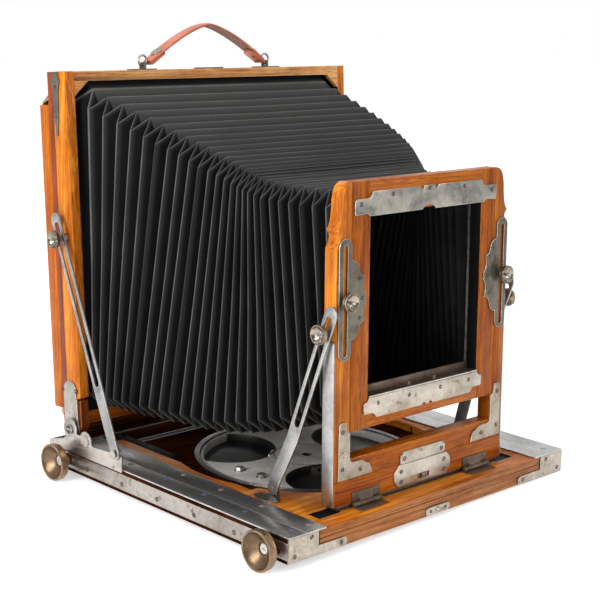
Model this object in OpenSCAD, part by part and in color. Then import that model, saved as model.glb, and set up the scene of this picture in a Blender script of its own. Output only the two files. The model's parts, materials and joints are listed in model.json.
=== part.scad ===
// Large wooden field camera: a racking bed with a turntable, a leaning rear frame,
// a hinged front standard with a rising lens panel, and pleated bellows between them.
// Millimetres. X to the right, Y to the back, Z up. The origin is the turntable's centre
// on the underside of the bed.

/* [Bed] */
// Width of the bed over its side plates
bed_w = 370; // [340:1:400]
// Length of the bed
bed_l = 340; // [330:1:360]
// Height of the deck above the underside
bed_h = 23; // [22:0.5:26]
// Width of the sliding extension between the side rails
extension_w = 298; // [292:1:304]
// Thickness of the steel deck strips and the side plates
plate_t = 1.5; // [1.2:0.1:1.8]
// Width of each outer deck strip
outer_strip_w = 19.8; // [15:0.2:22]
// Width of each inner deck strip
inner_strip_w = 22.8; // [20:0.2:25]
// Height of the inner board's upper face
board_top = 13; // [12.6:0.1:13.4]
// Thickness of the inner board
board_t = 9; // [7:0.5:10]

/* [Turntable] */
// Radius of the brass ring around the turntable
ring_r = 110; // [108:1:114]
// Radius of the turntable
disc_r = 104.5; // [100:0.5:106]
// Radius of each leg socket
pocket_r = 46; // [36:1:48]
// Distance of the leg sockets from the centre
pocket_d = 78; // [74:1:82]
// Radius of the tripod screw's thread
socket_r = 4.76; // [3.2:0.02:6]

/* [Racking] */
// Travel of the front extension
front_travel = 120; // [60:5:130]
// Travel of the rear carriage
rear_travel = 70; // [30:5:75]
// Radius of the racking knobs
knob_r = 18; // [15:0.5:20]
// Radius of the pinion shafts
shaft_r = 2; // [1.5:0.1:2.1]
// Number of teeth on a pinion
pinion_teeth = 9; // [9:1:9]

/* [Front standard] */
// Width of the front standard
front_w = 225; // [220:1:232]
// Width of each post
post_w = 17.6; // [16:0.2:19]
// Thickness of the front standard
front_t = 14; // [13:0.5:16]
// Height of the standard above its foot
front_h = 278.5; // [270:0.5:286]
// Distance of the front standard behind the bed's front edge
front_setback = 21.3; // [19:0.1:24]
// Angle at which the front standard leans back
front_lean = 1.5; // [0:0.5:3]
// Clear width of the lens opening
lens_w = 146; // [130:1:150]
// Clear height of the lens opening
lens_h = 159.5; // [140:0.5:160]
// Half the rise and fall of the lens panel that the slots allow
rise_slot = 45; // [40:1:48]

/* [Rear frame] */
// Distance of the rear frame's sides inside the bed's sides
rear_inset = 3.5; // [2.5:0.1:6]
// Distance of the rear frame in front of the bed's rear end
rear_setback = 49.6; // [46:0.2:54]
// Height of the rear frame's top above its reference line
rear_h = 343.5; // [330:0.5:350]
// Depth of the rear frame
rear_t = 29.5; // [27:0.5:31]
// Height of the rear frame's upper rail
rear_top_rail = 9; // [8:0.5:12]
// Thickness of the rear frame's sides
rear_wall = 9.5; // [8.5:0.5:11]
// Angle at which the rear frame leans back
rear_lean = 4; // [2:0.5:6]
// Depth of the removable back
back_t = 16.5; // [14:0.5:18]

/* [Bellows] */
// Number of pleats
pleats = 26; // [20:1:30]
// Depth of a pleat
pleat_d = 12; // [8:0.5:14]
// Size of the folded corners
pleat_corner = 15; // [13:0.5:17]
// Thickness of the bellows cloth
cloth_t = 0.9; // [0.8:0.1:1.2]

/* [Struts] */
// Width of the slotted struts
strut_w = 13.5; // [12.5:0.5:15]
// Thickness of the struts
strut_t = 1.8; // [1.4:0.1:2.2]
// Width of the struts' slots
slot_w = 6.6; // [6:0.1:7]
// Distance of the front struts' feet behind the front standard
front_strut_reach = 64; // [56:1:80]
// Distance of the rear struts' feet in front of the rear frame's pivots
rear_strut_reach = 73.3; // [60:0.1:80]
// Length of a strut beyond its stud
strut_beyond = 25; // [22:1:30]
// Length of a strut's solid foot
strut_solid = 67; // [60:1:75]
// Sideways bend of the front struts
strut_bend = 6; // [4:0.5:12]
// Radius of the clamp studs
stud_r = 1.5; // [1.2:0.1:1.7]

/* [Handle] */
// Distance between the handle's rings
handle_span = 160; // [150:1:165]
// Height of the strap above the rings
handle_rise = 36; // [25:1:42]
// Width of the strap
handle_w = 17; // [12:1:20]

/* [Hidden] */
$fn = 48;
// Clearances: sliding faces, running shafts, and what only stands near
slide_gap = 0.3;
run_gap = 0.05;
near_gap = 0.5;
eps = 0.01;

half_w = bed_w / 2;
bed_front = -bed_l / 2;
bed_back = bed_l / 2;
ext_half = extension_w / 2;
rail_in = ext_half + near_gap;
strip_z = bed_h - plate_t;
slot_h = 1.5;
slot_depth = 7;
skin = 0.2;
side_plate_low = 3;
side_plate_high = strip_z - slot_h - 2;
cross_rail_h = 9;
cross_rail_w = 11.5;
rear_rail_w = 20;
strip_seam = 0.4;
strip_in = half_w - outer_strip_w - strip_seam - inner_strip_w;

// Racking: pinions of module 1 under racks let into the extension and the carriage
tooth_m = 1;
pitch_r = pinion_teeth * tooth_m / 2;
pitch = PI * tooth_m;
tooth_top = 0.85;
tooth_root = 1.15;
shaft_z = board_top - shaft_r - slide_gap;
rack_pitch_z = shaft_z + pitch_r;
rack_top = rack_pitch_z + 4;
rack_w = 6;
pinion_w = 5;
front_shaft_y = bed_front + 20;
rear_shaft_y = bed_back - 29;
front_rack_x = ext_half - 14;
rear_rack_x = front_rack_x - 20;
channel_half = pitch_r + 4.5;
knob_neck = 0.6;

// Extension
ext_low = board_top + slide_gap;
ext_high = strip_z - 0.2;
ext_side_w = 22;
ext_arc_r = ring_r + 23;
board_depth = 110;
ext_back = bed_back - 40;
lip_low = cross_rail_h + slide_gap;

// Turntable
table_low = 3;
floor_t = 1.5;
table_gap = 0.5;
pocket_turn = 5.5;
retainer_in = disc_r - 7;

// Front standard, in its own leaning frame: y 0 is its front face and z 0 is its foot
front_face_y = bed_front + front_setback;
front_foot_z = bed_h + 2.4;
front_half = front_w / 2;
block_h = 21.2;
seam = 0.4;
rail_h = 40;
post_in = front_half - post_w;
panel_half = post_in - slide_gap;
panel_low = 64;
panel_proud = 0.3;
panel_t = 12;
lens_low = 90.7;
lens_high = lens_low + lens_h;
hinge_r = 2.6;
hinge_pin_r = 1.3;
hinge_y = front_face_y - hinge_r - 0.3;
hinge_z = ext_high + hinge_r + 0.3;
hinge_in = 57;
hinge_out = 91;
rise_stud_x = front_half - 9;
rise_stud_z = 179;
front_stud_y = 7;
front_stud_z = 152.5;
bar_t = 1.8;
strut_x = front_half + bar_t + 2.8;

// Front strut foot, on the extension's side
foot_x = strut_x + strut_t / 2 + strut_bend;
foot_y = front_face_y + front_strut_reach;
foot_z = ext_high + 8;

// Rear carriage and its brackets
rear_face_y = bed_back - rear_setback;
bracket_in = half_w + 0.4;
bracket_out = bracket_in + plate_t;
bracket_low = strip_z - slot_h + slide_gap;
cross_z = bed_h + slide_gap;
cross_front = bed_back - 27;
cross_back = bed_back - 2;
pivot_y = rear_face_y + 12.6;
pivot_z = bed_h + 20;
pivot_r = 2.5;
lug2_y = pivot_y - 25;
lug2_z = pivot_z - 6;
strut_foot_y = pivot_y - rear_strut_reach;
strut_foot_z = pivot_z - 6;
rear_strut_x = bracket_out + near_gap;

// Rear frame, in its own leaning frame: y 0 is its front face
rear_base_z = bed_h + 14;
rear_half = half_w - rear_inset;
rear_low = 9;
rear_rail = 12;
rear_stud_y = 10;
rear_stud_z = 189.8;
foot_notch = 9;
foot_notch_z = 38;
back_low = 23;
back_high = rear_h - 30.5;
back_half = rear_half - 1.5;
glass_half = back_half - 18;
glass_low = back_low + 15;
glass_high = back_high - 14;
glass_rim = 14;
screen_swing = 0.8;
screen_y = rear_t + back_t + 2.4;
screen_r = 2.1;
screen_pin_r = 1;
screen_in = 88;
screen_out = 114;

// ---------- helpers ----------

// A box from its lowest to its highest corner
module box(low, high) {
    translate(low) cube(high - low);
}

// The child and its mirror image across the camera's middle
module both_sides() {
    children();
    mirror([1, 0, 0]) children();
}

// A cylinder along X from x0 to x1
module rod_x(x0, x1, y, z, r) {
    translate([x0, y, z]) rotate([0, 90, 0]) cylinder(h = x1 - x0, r = r);
}

// A cylinder along Y from y0 to y1
module rod_y(y0, y1, x, z, r) {
    translate([x, y1, z]) rotate([90, 0, 0]) cylinder(h = y1 - y0, r = r);
}

// Points of a half circle of radius r about c, starting at angle a
function arc(c, r, a) = [for (i = [0:20]) c + r * [cos(a + 9 * i), sin(a + 9 * i)]];

// A plate standing across the camera: an outline in X and Z, from y0 to y1
module cross_plate(y0, y1) {
    translate([0, y1, 0]) rotate([90, 0, 0]) linear_extrude(y1 - y0) children();
}

// A plate standing along the camera: an outline in Y and Z, from x0 to x1
module side_plate(x0, x1) {
    translate([x0, 0, 0]) rotate([90, 0, 90]) linear_extrude(x1 - x0) children();
}

// A round-ended bar as an outline between two points
module pill(a, b, r) {
    d = b - a;
    translate(a) circle(r = r);
    translate(b) circle(r = r);
    translate(a) rotate(atan2(d[1], d[0])) translate([0, -r]) square([norm(d), 2 * r]);
}

// The leaning frame of the front standard
module front_pose() {
    translate([0, front_face_y, front_foot_z]) rotate([-front_lean, 0, 0]) children();
}

// The leaning frame of the rear frame
module rear_pose() {
    translate([0, rear_face_y, rear_base_z]) rotate([-rear_lean, 0, 0]) children();
}

// Where a point of a leaning frame lies along the camera and in height
function front_point(y, z) = [
    front_face_y + y * cos(front_lean) + z * sin(front_lean),
    front_foot_z - y * sin(front_lean) + z * cos(front_lean)
];
function rear_point(y, z) = [
    rear_face_y + y * cos(rear_lean) + z * sin(rear_lean),
    rear_base_z - y * sin(rear_lean) + z * cos(rear_lean)
];

// ---------- bed ----------

// Cross-section of the right side rail, with the groove that the carriage's lips run in
module rail_outline() {
    wood = half_w - skin;
    groove = half_w - slot_depth;
    polygon([
        [rail_in, 0], [wood, 0], [wood, side_plate_low], [half_w - plate_t, side_plate_low],
        [half_w - plate_t, side_plate_high], [wood, side_plate_high],
        [wood, strip_z - slot_h], [groove, strip_z - slot_h], [groove, strip_z], [rail_in, strip_z]
    ]);
}

module shaft_bores(r) {
    reach = half_w - 4;
    for (y = [front_shaft_y, rear_shaft_y])
        rod_x(-half_w - 1, reach, y, shaft_z, r);
}

module bed_frame() {
    front = bed_front + plate_t;
    color("saddlebrown") difference() {
        union() {
            both_sides()
                translate([0, bed_back, 0]) rotate([90, 0, 0])
                    linear_extrude(bed_back - front) rail_outline();
            box([-rail_in - 1, front, 0], [rail_in + 1, front + cross_rail_w, cross_rail_h]);
            box([-rail_in - 1, bed_back - rear_rail_w, 0], [rail_in + 1, bed_back, board_top]);
        }
        shaft_bores(shaft_r + run_gap);
    }
}

module bed_board() {
    front = front_shaft_y + channel_half;
    back = rear_shaft_y - channel_half;
    color("sienna") difference() {
        box([-rail_in, front, board_top - board_t], [rail_in, back, board_top]);
        cylinder(h = 2 * bed_h, r = disc_r + table_gap);
    }
}

module deck_strips() {
    seam_x = half_w - outer_strip_w;
    color("slategray") both_sides() {
        box([seam_x, bed_front, strip_z], [half_w, bed_back, bed_h]);
        box([strip_in, bed_front, strip_z], [seam_x - strip_seam, bed_back, bed_h]);
    }
}

module side_plates() {
    color("silver") difference() {
        both_sides()
            box([half_w - plate_t, bed_front + plate_t, side_plate_low],
                [half_w, bed_back, side_plate_high]);
        shaft_bores(shaft_r + near_gap);
    }
}

// Stepped plates that bind the front corners: a high part on the rail's end
// and a low arm with a round end on the cross rail. A small catch stands between them.
module corner_brackets() {
    arm_x = ext_half - 28;
    arm_r = (cross_rail_h - 0.6) / 2;
    catch_half = 12.5;
    color("silver") {
        cross_plate(bed_front, bed_front + plate_t) {
            for (side = [-1, 1]) scale([side, 1]) {
                translate([rail_in + 1.2, 0.3]) square([half_w - rail_in - 1.2, strip_z - 0.6]);
                pill([arm_x, arm_r + 0.3], [rail_in + 2, arm_r + 0.3], arm_r);
            }
            pill([-catch_half, cross_rail_h / 2], [catch_half, cross_rail_h / 2], 3.6);
        }
        rod_y(bed_front - 2.2, bed_front, 0, cross_rail_h / 2, 2.2);
    }
}

// ---------- turntable ----------

// A brass rim on the board, in two fine steps
module turntable_ring() {
    groove_r = (ring_r + disc_r) / 2;
    color("darkgoldenrod") difference() {
        translate([0, 0, board_top]) cylinder(h = 1, r = ring_r);
        translate([0, 0, board_top - 1]) cylinder(h = 3, r = disc_r + table_gap);
        translate([0, 0, board_top + 0.5]) difference() {
            cylinder(h = 1, r = groove_r + 0.5);
            translate([0, 0, -1]) cylinder(h = 3, r = groove_r - 0.5);
        }
    }
}

// The ring under the board that the turntable turns on
module turntable_retainer() {
    color("darkgoldenrod") {
        difference() {
            translate([0, 0, 1]) cylinder(h = board_top - board_t - 1, r = ring_r);
            cylinder(h = bed_h, r = disc_r + table_gap);
        }
        difference() {
            translate([0, 0, 1]) cylinder(h = table_low - slide_gap - 1, r = disc_r + table_gap);
            cylinder(h = bed_h, r = retainer_in);
        }
    }
}

// Places its child at each of the three leg sockets
module at_sockets() {
    for (i = [0:2])
        rotate(pocket_turn + 120 * i) translate([pocket_d, 0, 0]) children();
}

// A hub, three webs between the leg sockets, and a thin rim around them
module turntable_spider() {
    floor_z = table_low + floor_t;
    high = board_top - 0.5 - floor_z;
    hub_r = pocket_d - pocket_r - 0.1;
    rim = 3;
    color("dimgray") translate([0, 0, floor_z]) {
        difference() {
            cylinder(h = high, r = hub_r);
            translate([0, 0, -1]) cylinder(h = bed_h, r = socket_r);
        }
        difference() {
            cylinder(h = high, r = disc_r - rim - 0.2);
            translate([0, 0, -1]) cylinder(h = bed_h, r = hub_r + 0.3);
            translate([0, 0, -1]) at_sockets() cylinder(h = bed_h, r = pocket_r);
        }
        difference() {
            cylinder(h = high, r = disc_r);
            translate([0, 0, -1]) cylinder(h = bed_h, r = disc_r - rim);
        }
    }
}

// The floor of the leg sockets, with a boss for the tripod screw underneath
module turntable_floor() {
    color("gray") difference() {
        union() {
            translate([0, 0, table_low]) cylinder(h = floor_t, r = disc_r);
            cylinder(h = table_low + eps, r = 2.4 * socket_r);
        }
        translate([0, 0, -1]) cylinder(h = 2 * bed_h, r = socket_r);
    }
}

// An upright lug with a pin hole, for the inner wall of a leg socket
module leg_lug(h) {
    difference() {
        translate([0, -8, 0]) cube([3, 16, h]);
        rod_x(-1, 4, 0, h / 2, 1.8);
    }
}

// Hexagonal bolts, two on each web between the sockets, and a lug in each socket
module turntable_bolts() {
    floor_z = table_low + floor_t;
    bolt_d = pocket_d + 5;
    color("silver")
        for (i = [0:2]) {
            rotate(pocket_turn + 120 * i) translate([pocket_d - pocket_r + 2.2, 0, floor_z])
                leg_lug(board_top - 1.5 - floor_z);
            for (side = [-1, 1])
                rotate(pocket_turn + 60 + 120 * i + side * 9.5)
                    translate([bolt_d, 0, board_top - 0.5]) {
                        cylinder(h = 0.6, r = 5.2);
                        cylinder(h = 3.6, r = 4.2, $fn = 6);
                    }
        }
}

// ---------- front extension ----------

module ext_arc() {
    translate([0, 0, -1]) cylinder(h = 2 * bed_h, r = ext_arc_r);
}

module rack_channel(x) {
    box([x - rack_w / 2 - near_gap, front_shaft_y - 7, 0],
        [x + rack_w / 2 + near_gap, front_shaft_y + front_travel + 12, rack_top]);
}

module front_board() {
    front = bed_front + 0.5;
    lip_back = front_shaft_y - channel_half + 0.5;
    slot_x = front_half - 7.5;
    slot_z = rack_top + 0.6;
    color("chocolate") difference() {
        union() {
            box([-ext_half, front, lip_low], [ext_half, lip_back, ext_high]);
            box([-ext_half, lip_back - 1, ext_low], [ext_half, front + board_depth, ext_high]);
        }
        ext_arc();
        both_sides() rack_channel(front_rack_x);
        both_sides()
            box([slot_x, front_face_y - 1.6, slot_z], [slot_x + 26, front_face_y + 11.7, bed_h]);
        rack_shaft_relief();
    }
}

// Room over the pinion shaft in the underside of the extension
module rack_shaft_relief() {
    box([-ext_half - 1, front_shaft_y - shaft_r - 1, 0],
        [ext_half + 1, front_shaft_y + front_travel + 6, ext_low]);
}

module extension_sides() {
    front = bed_front + 0.5 + board_depth;
    color("darkorange") difference() {
        both_sides()
            box([ext_half - ext_side_w, front, ext_low], [ext_half, ext_back, ext_high]);
        ext_arc();
        both_sides() rack_channel(front_rack_x);
    }
}

// One rack tooth as an outline, centred on its pitch line and pointing down
module rack_tooth() {
    polygon([[-0.92, tooth_root], [0.92, tooth_root], [0.28, -tooth_top], [-0.28, -tooth_top]]);
}

// A rack from y0 to y1 with a tooth gap over the pinion at y_gap
module rack(x, y0, y1, y_gap) {
    first = ceil((y0 - y_gap) / pitch);
    last = floor((y1 - y_gap) / pitch) - 1;
    side_plate(x - rack_w / 2, x + rack_w / 2) {
        translate([y0, rack_pitch_z + tooth_root - eps])
            square([y1 - y0, rack_top - rack_pitch_z - tooth_root + eps]);
        for (i = [first:last])
            translate([y_gap + (i + 0.5) * pitch, rack_pitch_z]) rack_tooth();
    }
}

module front_racks() {
    color("goldenrod") both_sides()
        rack(front_rack_x, front_shaft_y - 7, front_shaft_y + front_travel + 7, front_shaft_y);
}

// A pinion tooth, standing up from the shaft's centre
module pinion_tooth() {
    polygon([[-0.85, pitch_r - tooth_root], [0.85, pitch_r - tooth_root],
             [0.28, pitch_r + tooth_top], [-0.28, pitch_r + tooth_top]]);
}

module pinion_outline() {
    circle(r = pitch_r - tooth_root + 0.1);
    for (i = [0:pinion_teeth - 1])
        rotate(i * 360 / pinion_teeth) pinion_tooth();
}

// A shaft across the bed with a pinion near each end
module pinion_shaft(y, pinion_x) {
    color("goldenrod") {
        rod_x(-half_w - knob_neck - knob_length() + 9, half_w - 5, y, shaft_z, shaft_r);
        both_sides()
            translate([0, y, shaft_z])
                side_plate(pinion_x - pinion_w / 2, pinion_x + pinion_w / 2) pinion_outline();
    }
}

module front_shaft() {
    pinion_shaft(front_shaft_y, front_rack_x);
}

module rear_shaft() {
    pinion_shaft(rear_shaft_y, rear_rack_x);
}

// A deep cupped knob, given by its turned outline
function knob_length() = knob_r * 0.97;

module cup_knob(r, bore) {
    h = knob_length() * r / knob_r;
    rotate_extrude() polygon([
        [bore, 0], [r * 0.34, 0], [r * 0.34, h * 0.24], [r * 0.6, h * 0.34], [r * 0.9, h * 0.52],
        [r, h * 0.62], [r, h * 0.94], [r * 0.96, h], [r * 0.91, h * 0.97], [r * 0.8, h * 0.7],
        [r * 0.58, h * 0.5], [r * 0.3, h * 0.4], [bore, h * 0.38]
    ]);
}

module rack_knob(y) {
    color("darkgoldenrod")
        translate([-half_w - knob_neck, y, shaft_z]) rotate([0, -90, 0])
            cup_knob(knob_r, shaft_r + 0.02);
}

module front_knob() {
    rack_knob(front_shaft_y);
}

module rear_knob() {
    rack_knob(rear_shaft_y);
}

// Lower leaf of each butt hinge, with its outer knuckles and its pin
module butt_hinges() {
    leaf_w = hinge_out - hinge_in;
    color("dimgray") both_sides() {
        for (x = [hinge_in, hinge_out - leaf_w / 4]) {
            difference() {
                rod_x(x, x + leaf_w / 4, hinge_y, hinge_z, hinge_r);
                rod_x(x - 1, x + leaf_w / 4 + 1, hinge_y, hinge_z, hinge_pin_r);
            }
            box([x, hinge_y - 10, ext_high], [x + leaf_w / 4, hinge_y, ext_high + 1.2]);
        }
        box([hinge_in, hinge_y - 10, ext_high],
            [hinge_out, hinge_y - hinge_r - 0.4, ext_high + 1.2]);
        rod_x(hinge_in - 0.5, hinge_out + 0.5, hinge_y, hinge_z, hinge_pin_r);
    }
}

// Leaf-shaped foot plates, each with an ear and a pin that hold a front strut
module strut_feet() {
    leaf_x = strip_in - 11;
    leaf = [for (i = [0:23]) [leaf_x + 8 * cos(15 * i), foot_y + 15 * sin(15 * i)]];
    color("silver") both_sides() {
        difference() {
            union() {
                translate([0, 0, ext_high]) linear_extrude(1.2) polygon(leaf);
                box([foot_x - 5, foot_y - 4, ext_high], [foot_x + 2, foot_y + 4, ext_high + 1.2]);
                box([foot_x - 5, foot_y - 3, ext_high], [foot_x - 2, foot_y + 3, foot_z + 3]);
            }
            rod_x(foot_x - 8, foot_x, foot_y, foot_z, stud_r);
        }
        rod_x(foot_x - 5.6, foot_x + 1.6, foot_y, foot_z, stud_r);
    }
}

// ---------- rear carriage ----------

module carriage_board() {
    color("saddlebrown")
        box([-half_w + 20, cross_front + 3, cross_z + plate_t],
            [half_w - 20, cross_back, cross_z + plate_t + 7]);
}

// Side brackets with three lugs, lips that run in the rails' grooves,
// and the steel plate that joins them across the deck
module carriage_brackets() {
    front = strut_foot_y - 8;
    lip_x = half_w - slot_depth + 1;
    color("silver") difference() {
        union() {
            both_sides() {
                side_plate(bracket_in, bracket_out) {
                    polygon([
                        [front, bracket_low], [front, bed_h + 12], [strut_foot_y + 8, bed_h + 13],
                        [lug2_y - 12, bed_h + 11], [lug2_y, bed_h + 17], [pivot_y, bed_h + 17],
                        [pivot_y + 11, bed_h + 8], [cross_back, bed_h + 2], [cross_back, bracket_low]
                    ]);
                    translate([pivot_y, pivot_z]) circle(r = 10.5);
                    translate([lug2_y, lug2_z]) circle(r = 9);
                    translate([strut_foot_y, strut_foot_z]) circle(r = 6);
                }
                box([lip_x, front + 3, bracket_low],
                    [bracket_in + eps, cross_back - 3, strip_z - slide_gap]);
                rod_x(bracket_in, rear_strut_x + strut_t + 2, strut_foot_y, strut_foot_z, stud_r);
                rod_x(bracket_in, bracket_out + 1.6, lug2_y, lug2_z, 5.5);
            }
            box([-bracket_in - eps, cross_front, cross_z],
                [bracket_in + eps, cross_back, cross_z + plate_t]);
        }
        both_sides() rod_x(bracket_in - 1, bracket_out + 1, pivot_y, pivot_z, pivot_r + run_gap);
    }
}

module rear_racks() {
    front = rear_shaft_y - rear_travel - 7;
    color("goldenrod") both_sides() {
        rack(rear_rack_x, front, rear_shaft_y + 8, rear_shaft_y);
        box([rear_rack_x - rack_w / 2, cross_front + 1, rack_top],
            [rear_rack_x + rack_w / 2, rear_shaft_y + 8, cross_z]);
    }
}

// ---------- front standard ----------

// Right half of the standard's outline above the seam, with two cusps in its shoulder
module shoulder_outline() {
    x = front_half;
    h = front_h;
    polygon([
        [post_in, block_h + seam], [x, block_h + seam], [x, h - 59.5], [x - 0.2, h - 54.5],
        [x - 2, h - 52.2], [x - 3.4, h - 49.5], [x - 4.2, h - 45.2], [x - 3.8, h - 43.4],
        [x - 2.8, h - 41.9], [x - 1, h - 39.5], [x - 2.8, h - 37.6], [x - 4.4, h - 34.4],
        [x - 5.5, h - 29.5], [x - 6.3, h - 23], [x - 6.6, h - 16], [x - 8, h - 9],
        [x - 9.4, h - 5.2], [x - 11.5, h - 2.5], [x - 14.2, h - 0.8], [x - 17.2, h], [post_in, h]
    ]);
}

module lens_frame() {
    color("chocolate") front_pose()
        cross_plate(0, front_t) {
            intersection() {
                union() {
                    shoulder_outline();
                    mirror([1, 0]) shoulder_outline();
                    translate([-front_half + 1, block_h + seam])
                        square([front_w - 2, rail_h - block_h - seam]);
                }
                difference() {
                    translate([-front_half, 0]) square([front_w, front_h]);
                    translate([-post_in, rail_h]) square([2 * post_in, front_h]);
                }
            }
        }
}

module standard_block() {
    color("chocolate") front_pose()
        box([-front_half, 0, 0], [front_half, front_t, block_h]);
}

// Steel sole under the block
module standard_sole() {
    sole_t = front_foot_z - ext_high - 0.8;
    color("silver") front_pose()
        box([-front_half + 4, 0.2, -sole_t], [front_half - 4, front_t, 0]);
}

// Upper leaf of each butt hinge, with the middle knuckle
module hinge_flaps() {
    leaf_w = hinge_out - hinge_in;
    knuckle_in = hinge_in + leaf_w / 4 + slide_gap;
    knuckle_out = hinge_out - leaf_w / 4 - slide_gap;
    color("dimgray") both_sides() {
        front_pose() box([hinge_in, -1.3, 1], [hinge_out, 0, 9.3]);
        difference() {
            union() {
                rod_x(knuckle_in, knuckle_out, hinge_y, hinge_z, hinge_r);
                side_plate(knuckle_in, knuckle_out) polygon([
                    [hinge_y, hinge_z], [hinge_y, hinge_z + 2.3], [front_face_y - 1.1, front_foot_z + 4],
                    [front_face_y - 0.15, front_foot_z + 4], [front_face_y - 0.15, hinge_z]
                ]);
            }
            rod_x(knuckle_in - 1, knuckle_out + 1, hinge_y, hinge_z, hinge_pin_r + run_gap);
        }
    }
}

// L-shaped plates over the lower corners of the lens frame: an upright leg with a
// narrower tip, and an arm that ends in a double curve
module corner_plates() {
    x = front_half;
    z = block_h + seam + 1.7;
    color("silver") front_pose() both_sides()
        cross_plate(-plate_t, 0) polygon([
            [x - 45.8, z], [x - 3.5, z], [x - 4, z + 37], [x - 4.2, z + 40.2], [x - 4.6, z + 42.6],
            [x - 4.6, z + 47.8], [x - 5.5, z + 50], [x - 7.5, z + 50.7], [x - 12.7, z + 50.7],
            [x - 12.9, z + 45.7], [x - 13.7, z + 43.2], [x - 15.3, z + 41.3], [x - 17.5, z + 40.2],
            [x - 17.5, z + 18.2], [x - 18.1, z + 16.1], [x - 19.9, z + 14.4], [x - 22.5, z + 13.8],
            [x - 31.7, z + 13.8], [x - 34.7, z + 12.7], [x - 37.7, z + 10.4], [x - 42.6, z + 8.5]
        ]);
}

// The two halves of the centre lock, above and below the seam
module lock_plates() {
    color("silver") front_pose()
        cross_plate(-plate_t, 0) {
            translate([-30, block_h + seam]) square([60, 8.5]);
            translate([-27, block_h + seam + 8]) square([54, 3.2]);
            difference() {
                union() {
                    translate([-33, 0.8]) square([66, block_h - 0.8]);
                    for (side = [-1, 1])
                        translate([side * 28, block_h / 2 + 0.4]) circle(r = block_h / 2 - 0.4);
                }
                translate([-6, 3.6]) square([15, 4.6]);
            }
        }
}

module lock_catch() {
    color("dimgray") front_pose()
        box([-1.5, -3, 3.9], [4.5, -0.2, 7.9]);
}

// Flat bars down the sides of the standard over the seam, and the studs for the panel's
// clamp knobs and for the struts' clamp knobs
module side_bars() {
    color("lightgray") both_sides() front_pose() {
        box([front_half, 0.6, 0.4], [front_half + bar_t, front_t - 0.6, front_stud_z - 8]);
        rod_y(-12.5, 0, rise_stud_x, rise_stud_z, stud_r);
        rod_x(front_half, strut_x + strut_t + 10.5, front_stud_y, front_stud_z, stud_r);
        rod_x(front_half, strut_x - slide_gap, front_stud_y, front_stud_z, 4.5);
    }
}

// ---------- lens panel ----------

module lens_panel() {
    color("peru") front_pose() difference() {
        box([-panel_half, -panel_proud, panel_low], [panel_half, panel_t, front_h]);
        box([-lens_w / 2, -1, lens_low], [lens_w / 2, panel_t + 1, lens_high]);
        both_sides() box([panel_half - 1.2, -1, panel_low - 1], [panel_half - 0.5, 0.6, front_h + 1]);
    }
}

// The points of a right half outline, followed by their mirror images
function whole(half) = concat(half, [for (i = [len(half) - 1:-1:0]) [-half[i][0], half[i][1]]]);

module panel_top_plate() {
    color("slategray") front_pose() translate([0, 0, lens_high - 1.8])
        cross_plate(-panel_proud - plate_t, -panel_proud) difference() {
            union() {
                polygon(whole([
                    [74, 0], [75.5, 0.1], [77.5, 2], [80, 2.4], [92, 1.6], [93, 2.6], [93, 12.5],
                    [92.3, 14.3], [90.5, 15.1], [78, 15.1], [76, 15.4], [73.8, 16.8],
                    [72.5, 19], [71.5, 20.8]
                ]));
                translate([0, 14.8]) circle(r = 6.5);
            }
            translate([0, -7.5]) circle(r = 11.7);
            for (side = [-1, 1])
                translate([side * 9.5, 21]) circle(r = 2.8);
        }
}

// The lower plate, the ledge behind it and the two pins that stand on the ledge
module panel_bottom_plate() {
    color("slategray") front_pose() {
        translate([0, 0, lens_low])
            cross_plate(-panel_proud - plate_t, -panel_proud) difference() {
                polygon(whole([
                    [62, -18.7], [64, -17.7], [66, -15.1], [68, -14.2], [78, -14.2], [79, -13.2],
                    [79, -5.2], [78, -4.2], [75, -3.7], [73.7, -2], [72.5, -0.4]
                ]));
                for (x = [-0.8, 7.8])
                    translate([x, -19.1]) circle(r = 2.6);
            }
        box([-lens_w / 2 + 0.6, -panel_proud - plate_t, lens_low],
            [lens_w / 2 - 0.6, panel_t - 1, lens_low + 1.4]);
        box([-lens_w / 2 + 0.6, panel_t - 2.4, lens_low + 1.4 - eps],
            [lens_w / 2 - 0.6, panel_t - 1, lens_low + 8]);
        for (x = [-17, 17])
            translate([x, 3, lens_low + 1]) cylinder(h = 4, r = 1.6);
    }
}

// Slotted plates that guide the panel's rise, with cusped wings on the panel
module rise_plates() {
    low = rise_stud_z - rise_slot - 6;
    high = rise_stud_z + rise_slot + 8;
    half = 7.6;
    wing = [
        [34.3, 7.3], [34.3, 8.5], [32.5, 13], [30, 15], [26.5, 16.1], [22.5, 17.5], [20.4, 19.9],
        [18.8, 23.7], [15.2, 22.5], [11, 22.2], [7, 22.9], [2.3, 26], [0, 24.5]
    ];
    color("gray") front_pose() both_sides()
        cross_plate(-panel_proud - plate_t, -panel_proud) difference() {
            union() {
                pill([rise_stud_x, low + half], [rise_stud_x, high - half], half);
                polygon(concat(
                    [for (p = wing) [rise_stud_x - p[1], rise_stud_z + p[0]]],
                    [for (i = [len(wing) - 2:-1:0])
                        [rise_stud_x - wing[i][1], rise_stud_z - wing[i][0]]]
                ));
            }
            pill([rise_stud_x, rise_stud_z - rise_slot], [rise_stud_x, rise_stud_z + rise_slot],
                 stud_r + 1);
        }
}

module bellows_front_frame() {
    color("black") front_pose() difference() {
        box([-panel_half - 3, front_t + slide_gap, panel_low + 2],
            [panel_half + 3, front_t + 4, front_h - 2]);
        box([-lens_w / 2 - 4, 0, lens_low - 4], [lens_w / 2 + 4, front_t + 6, lens_high + 4]);
    }
    color("black") front_pose() difference() {
        box([-panel_half + 2, panel_t, panel_low + 3],
            [panel_half - 2, front_t + slide_gap + eps, front_h - 3]);
        box([-lens_w / 2 - 4, 0, lens_low - 4], [lens_w / 2 + 4, front_t + 6, lens_high + 4]);
    }
}

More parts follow.
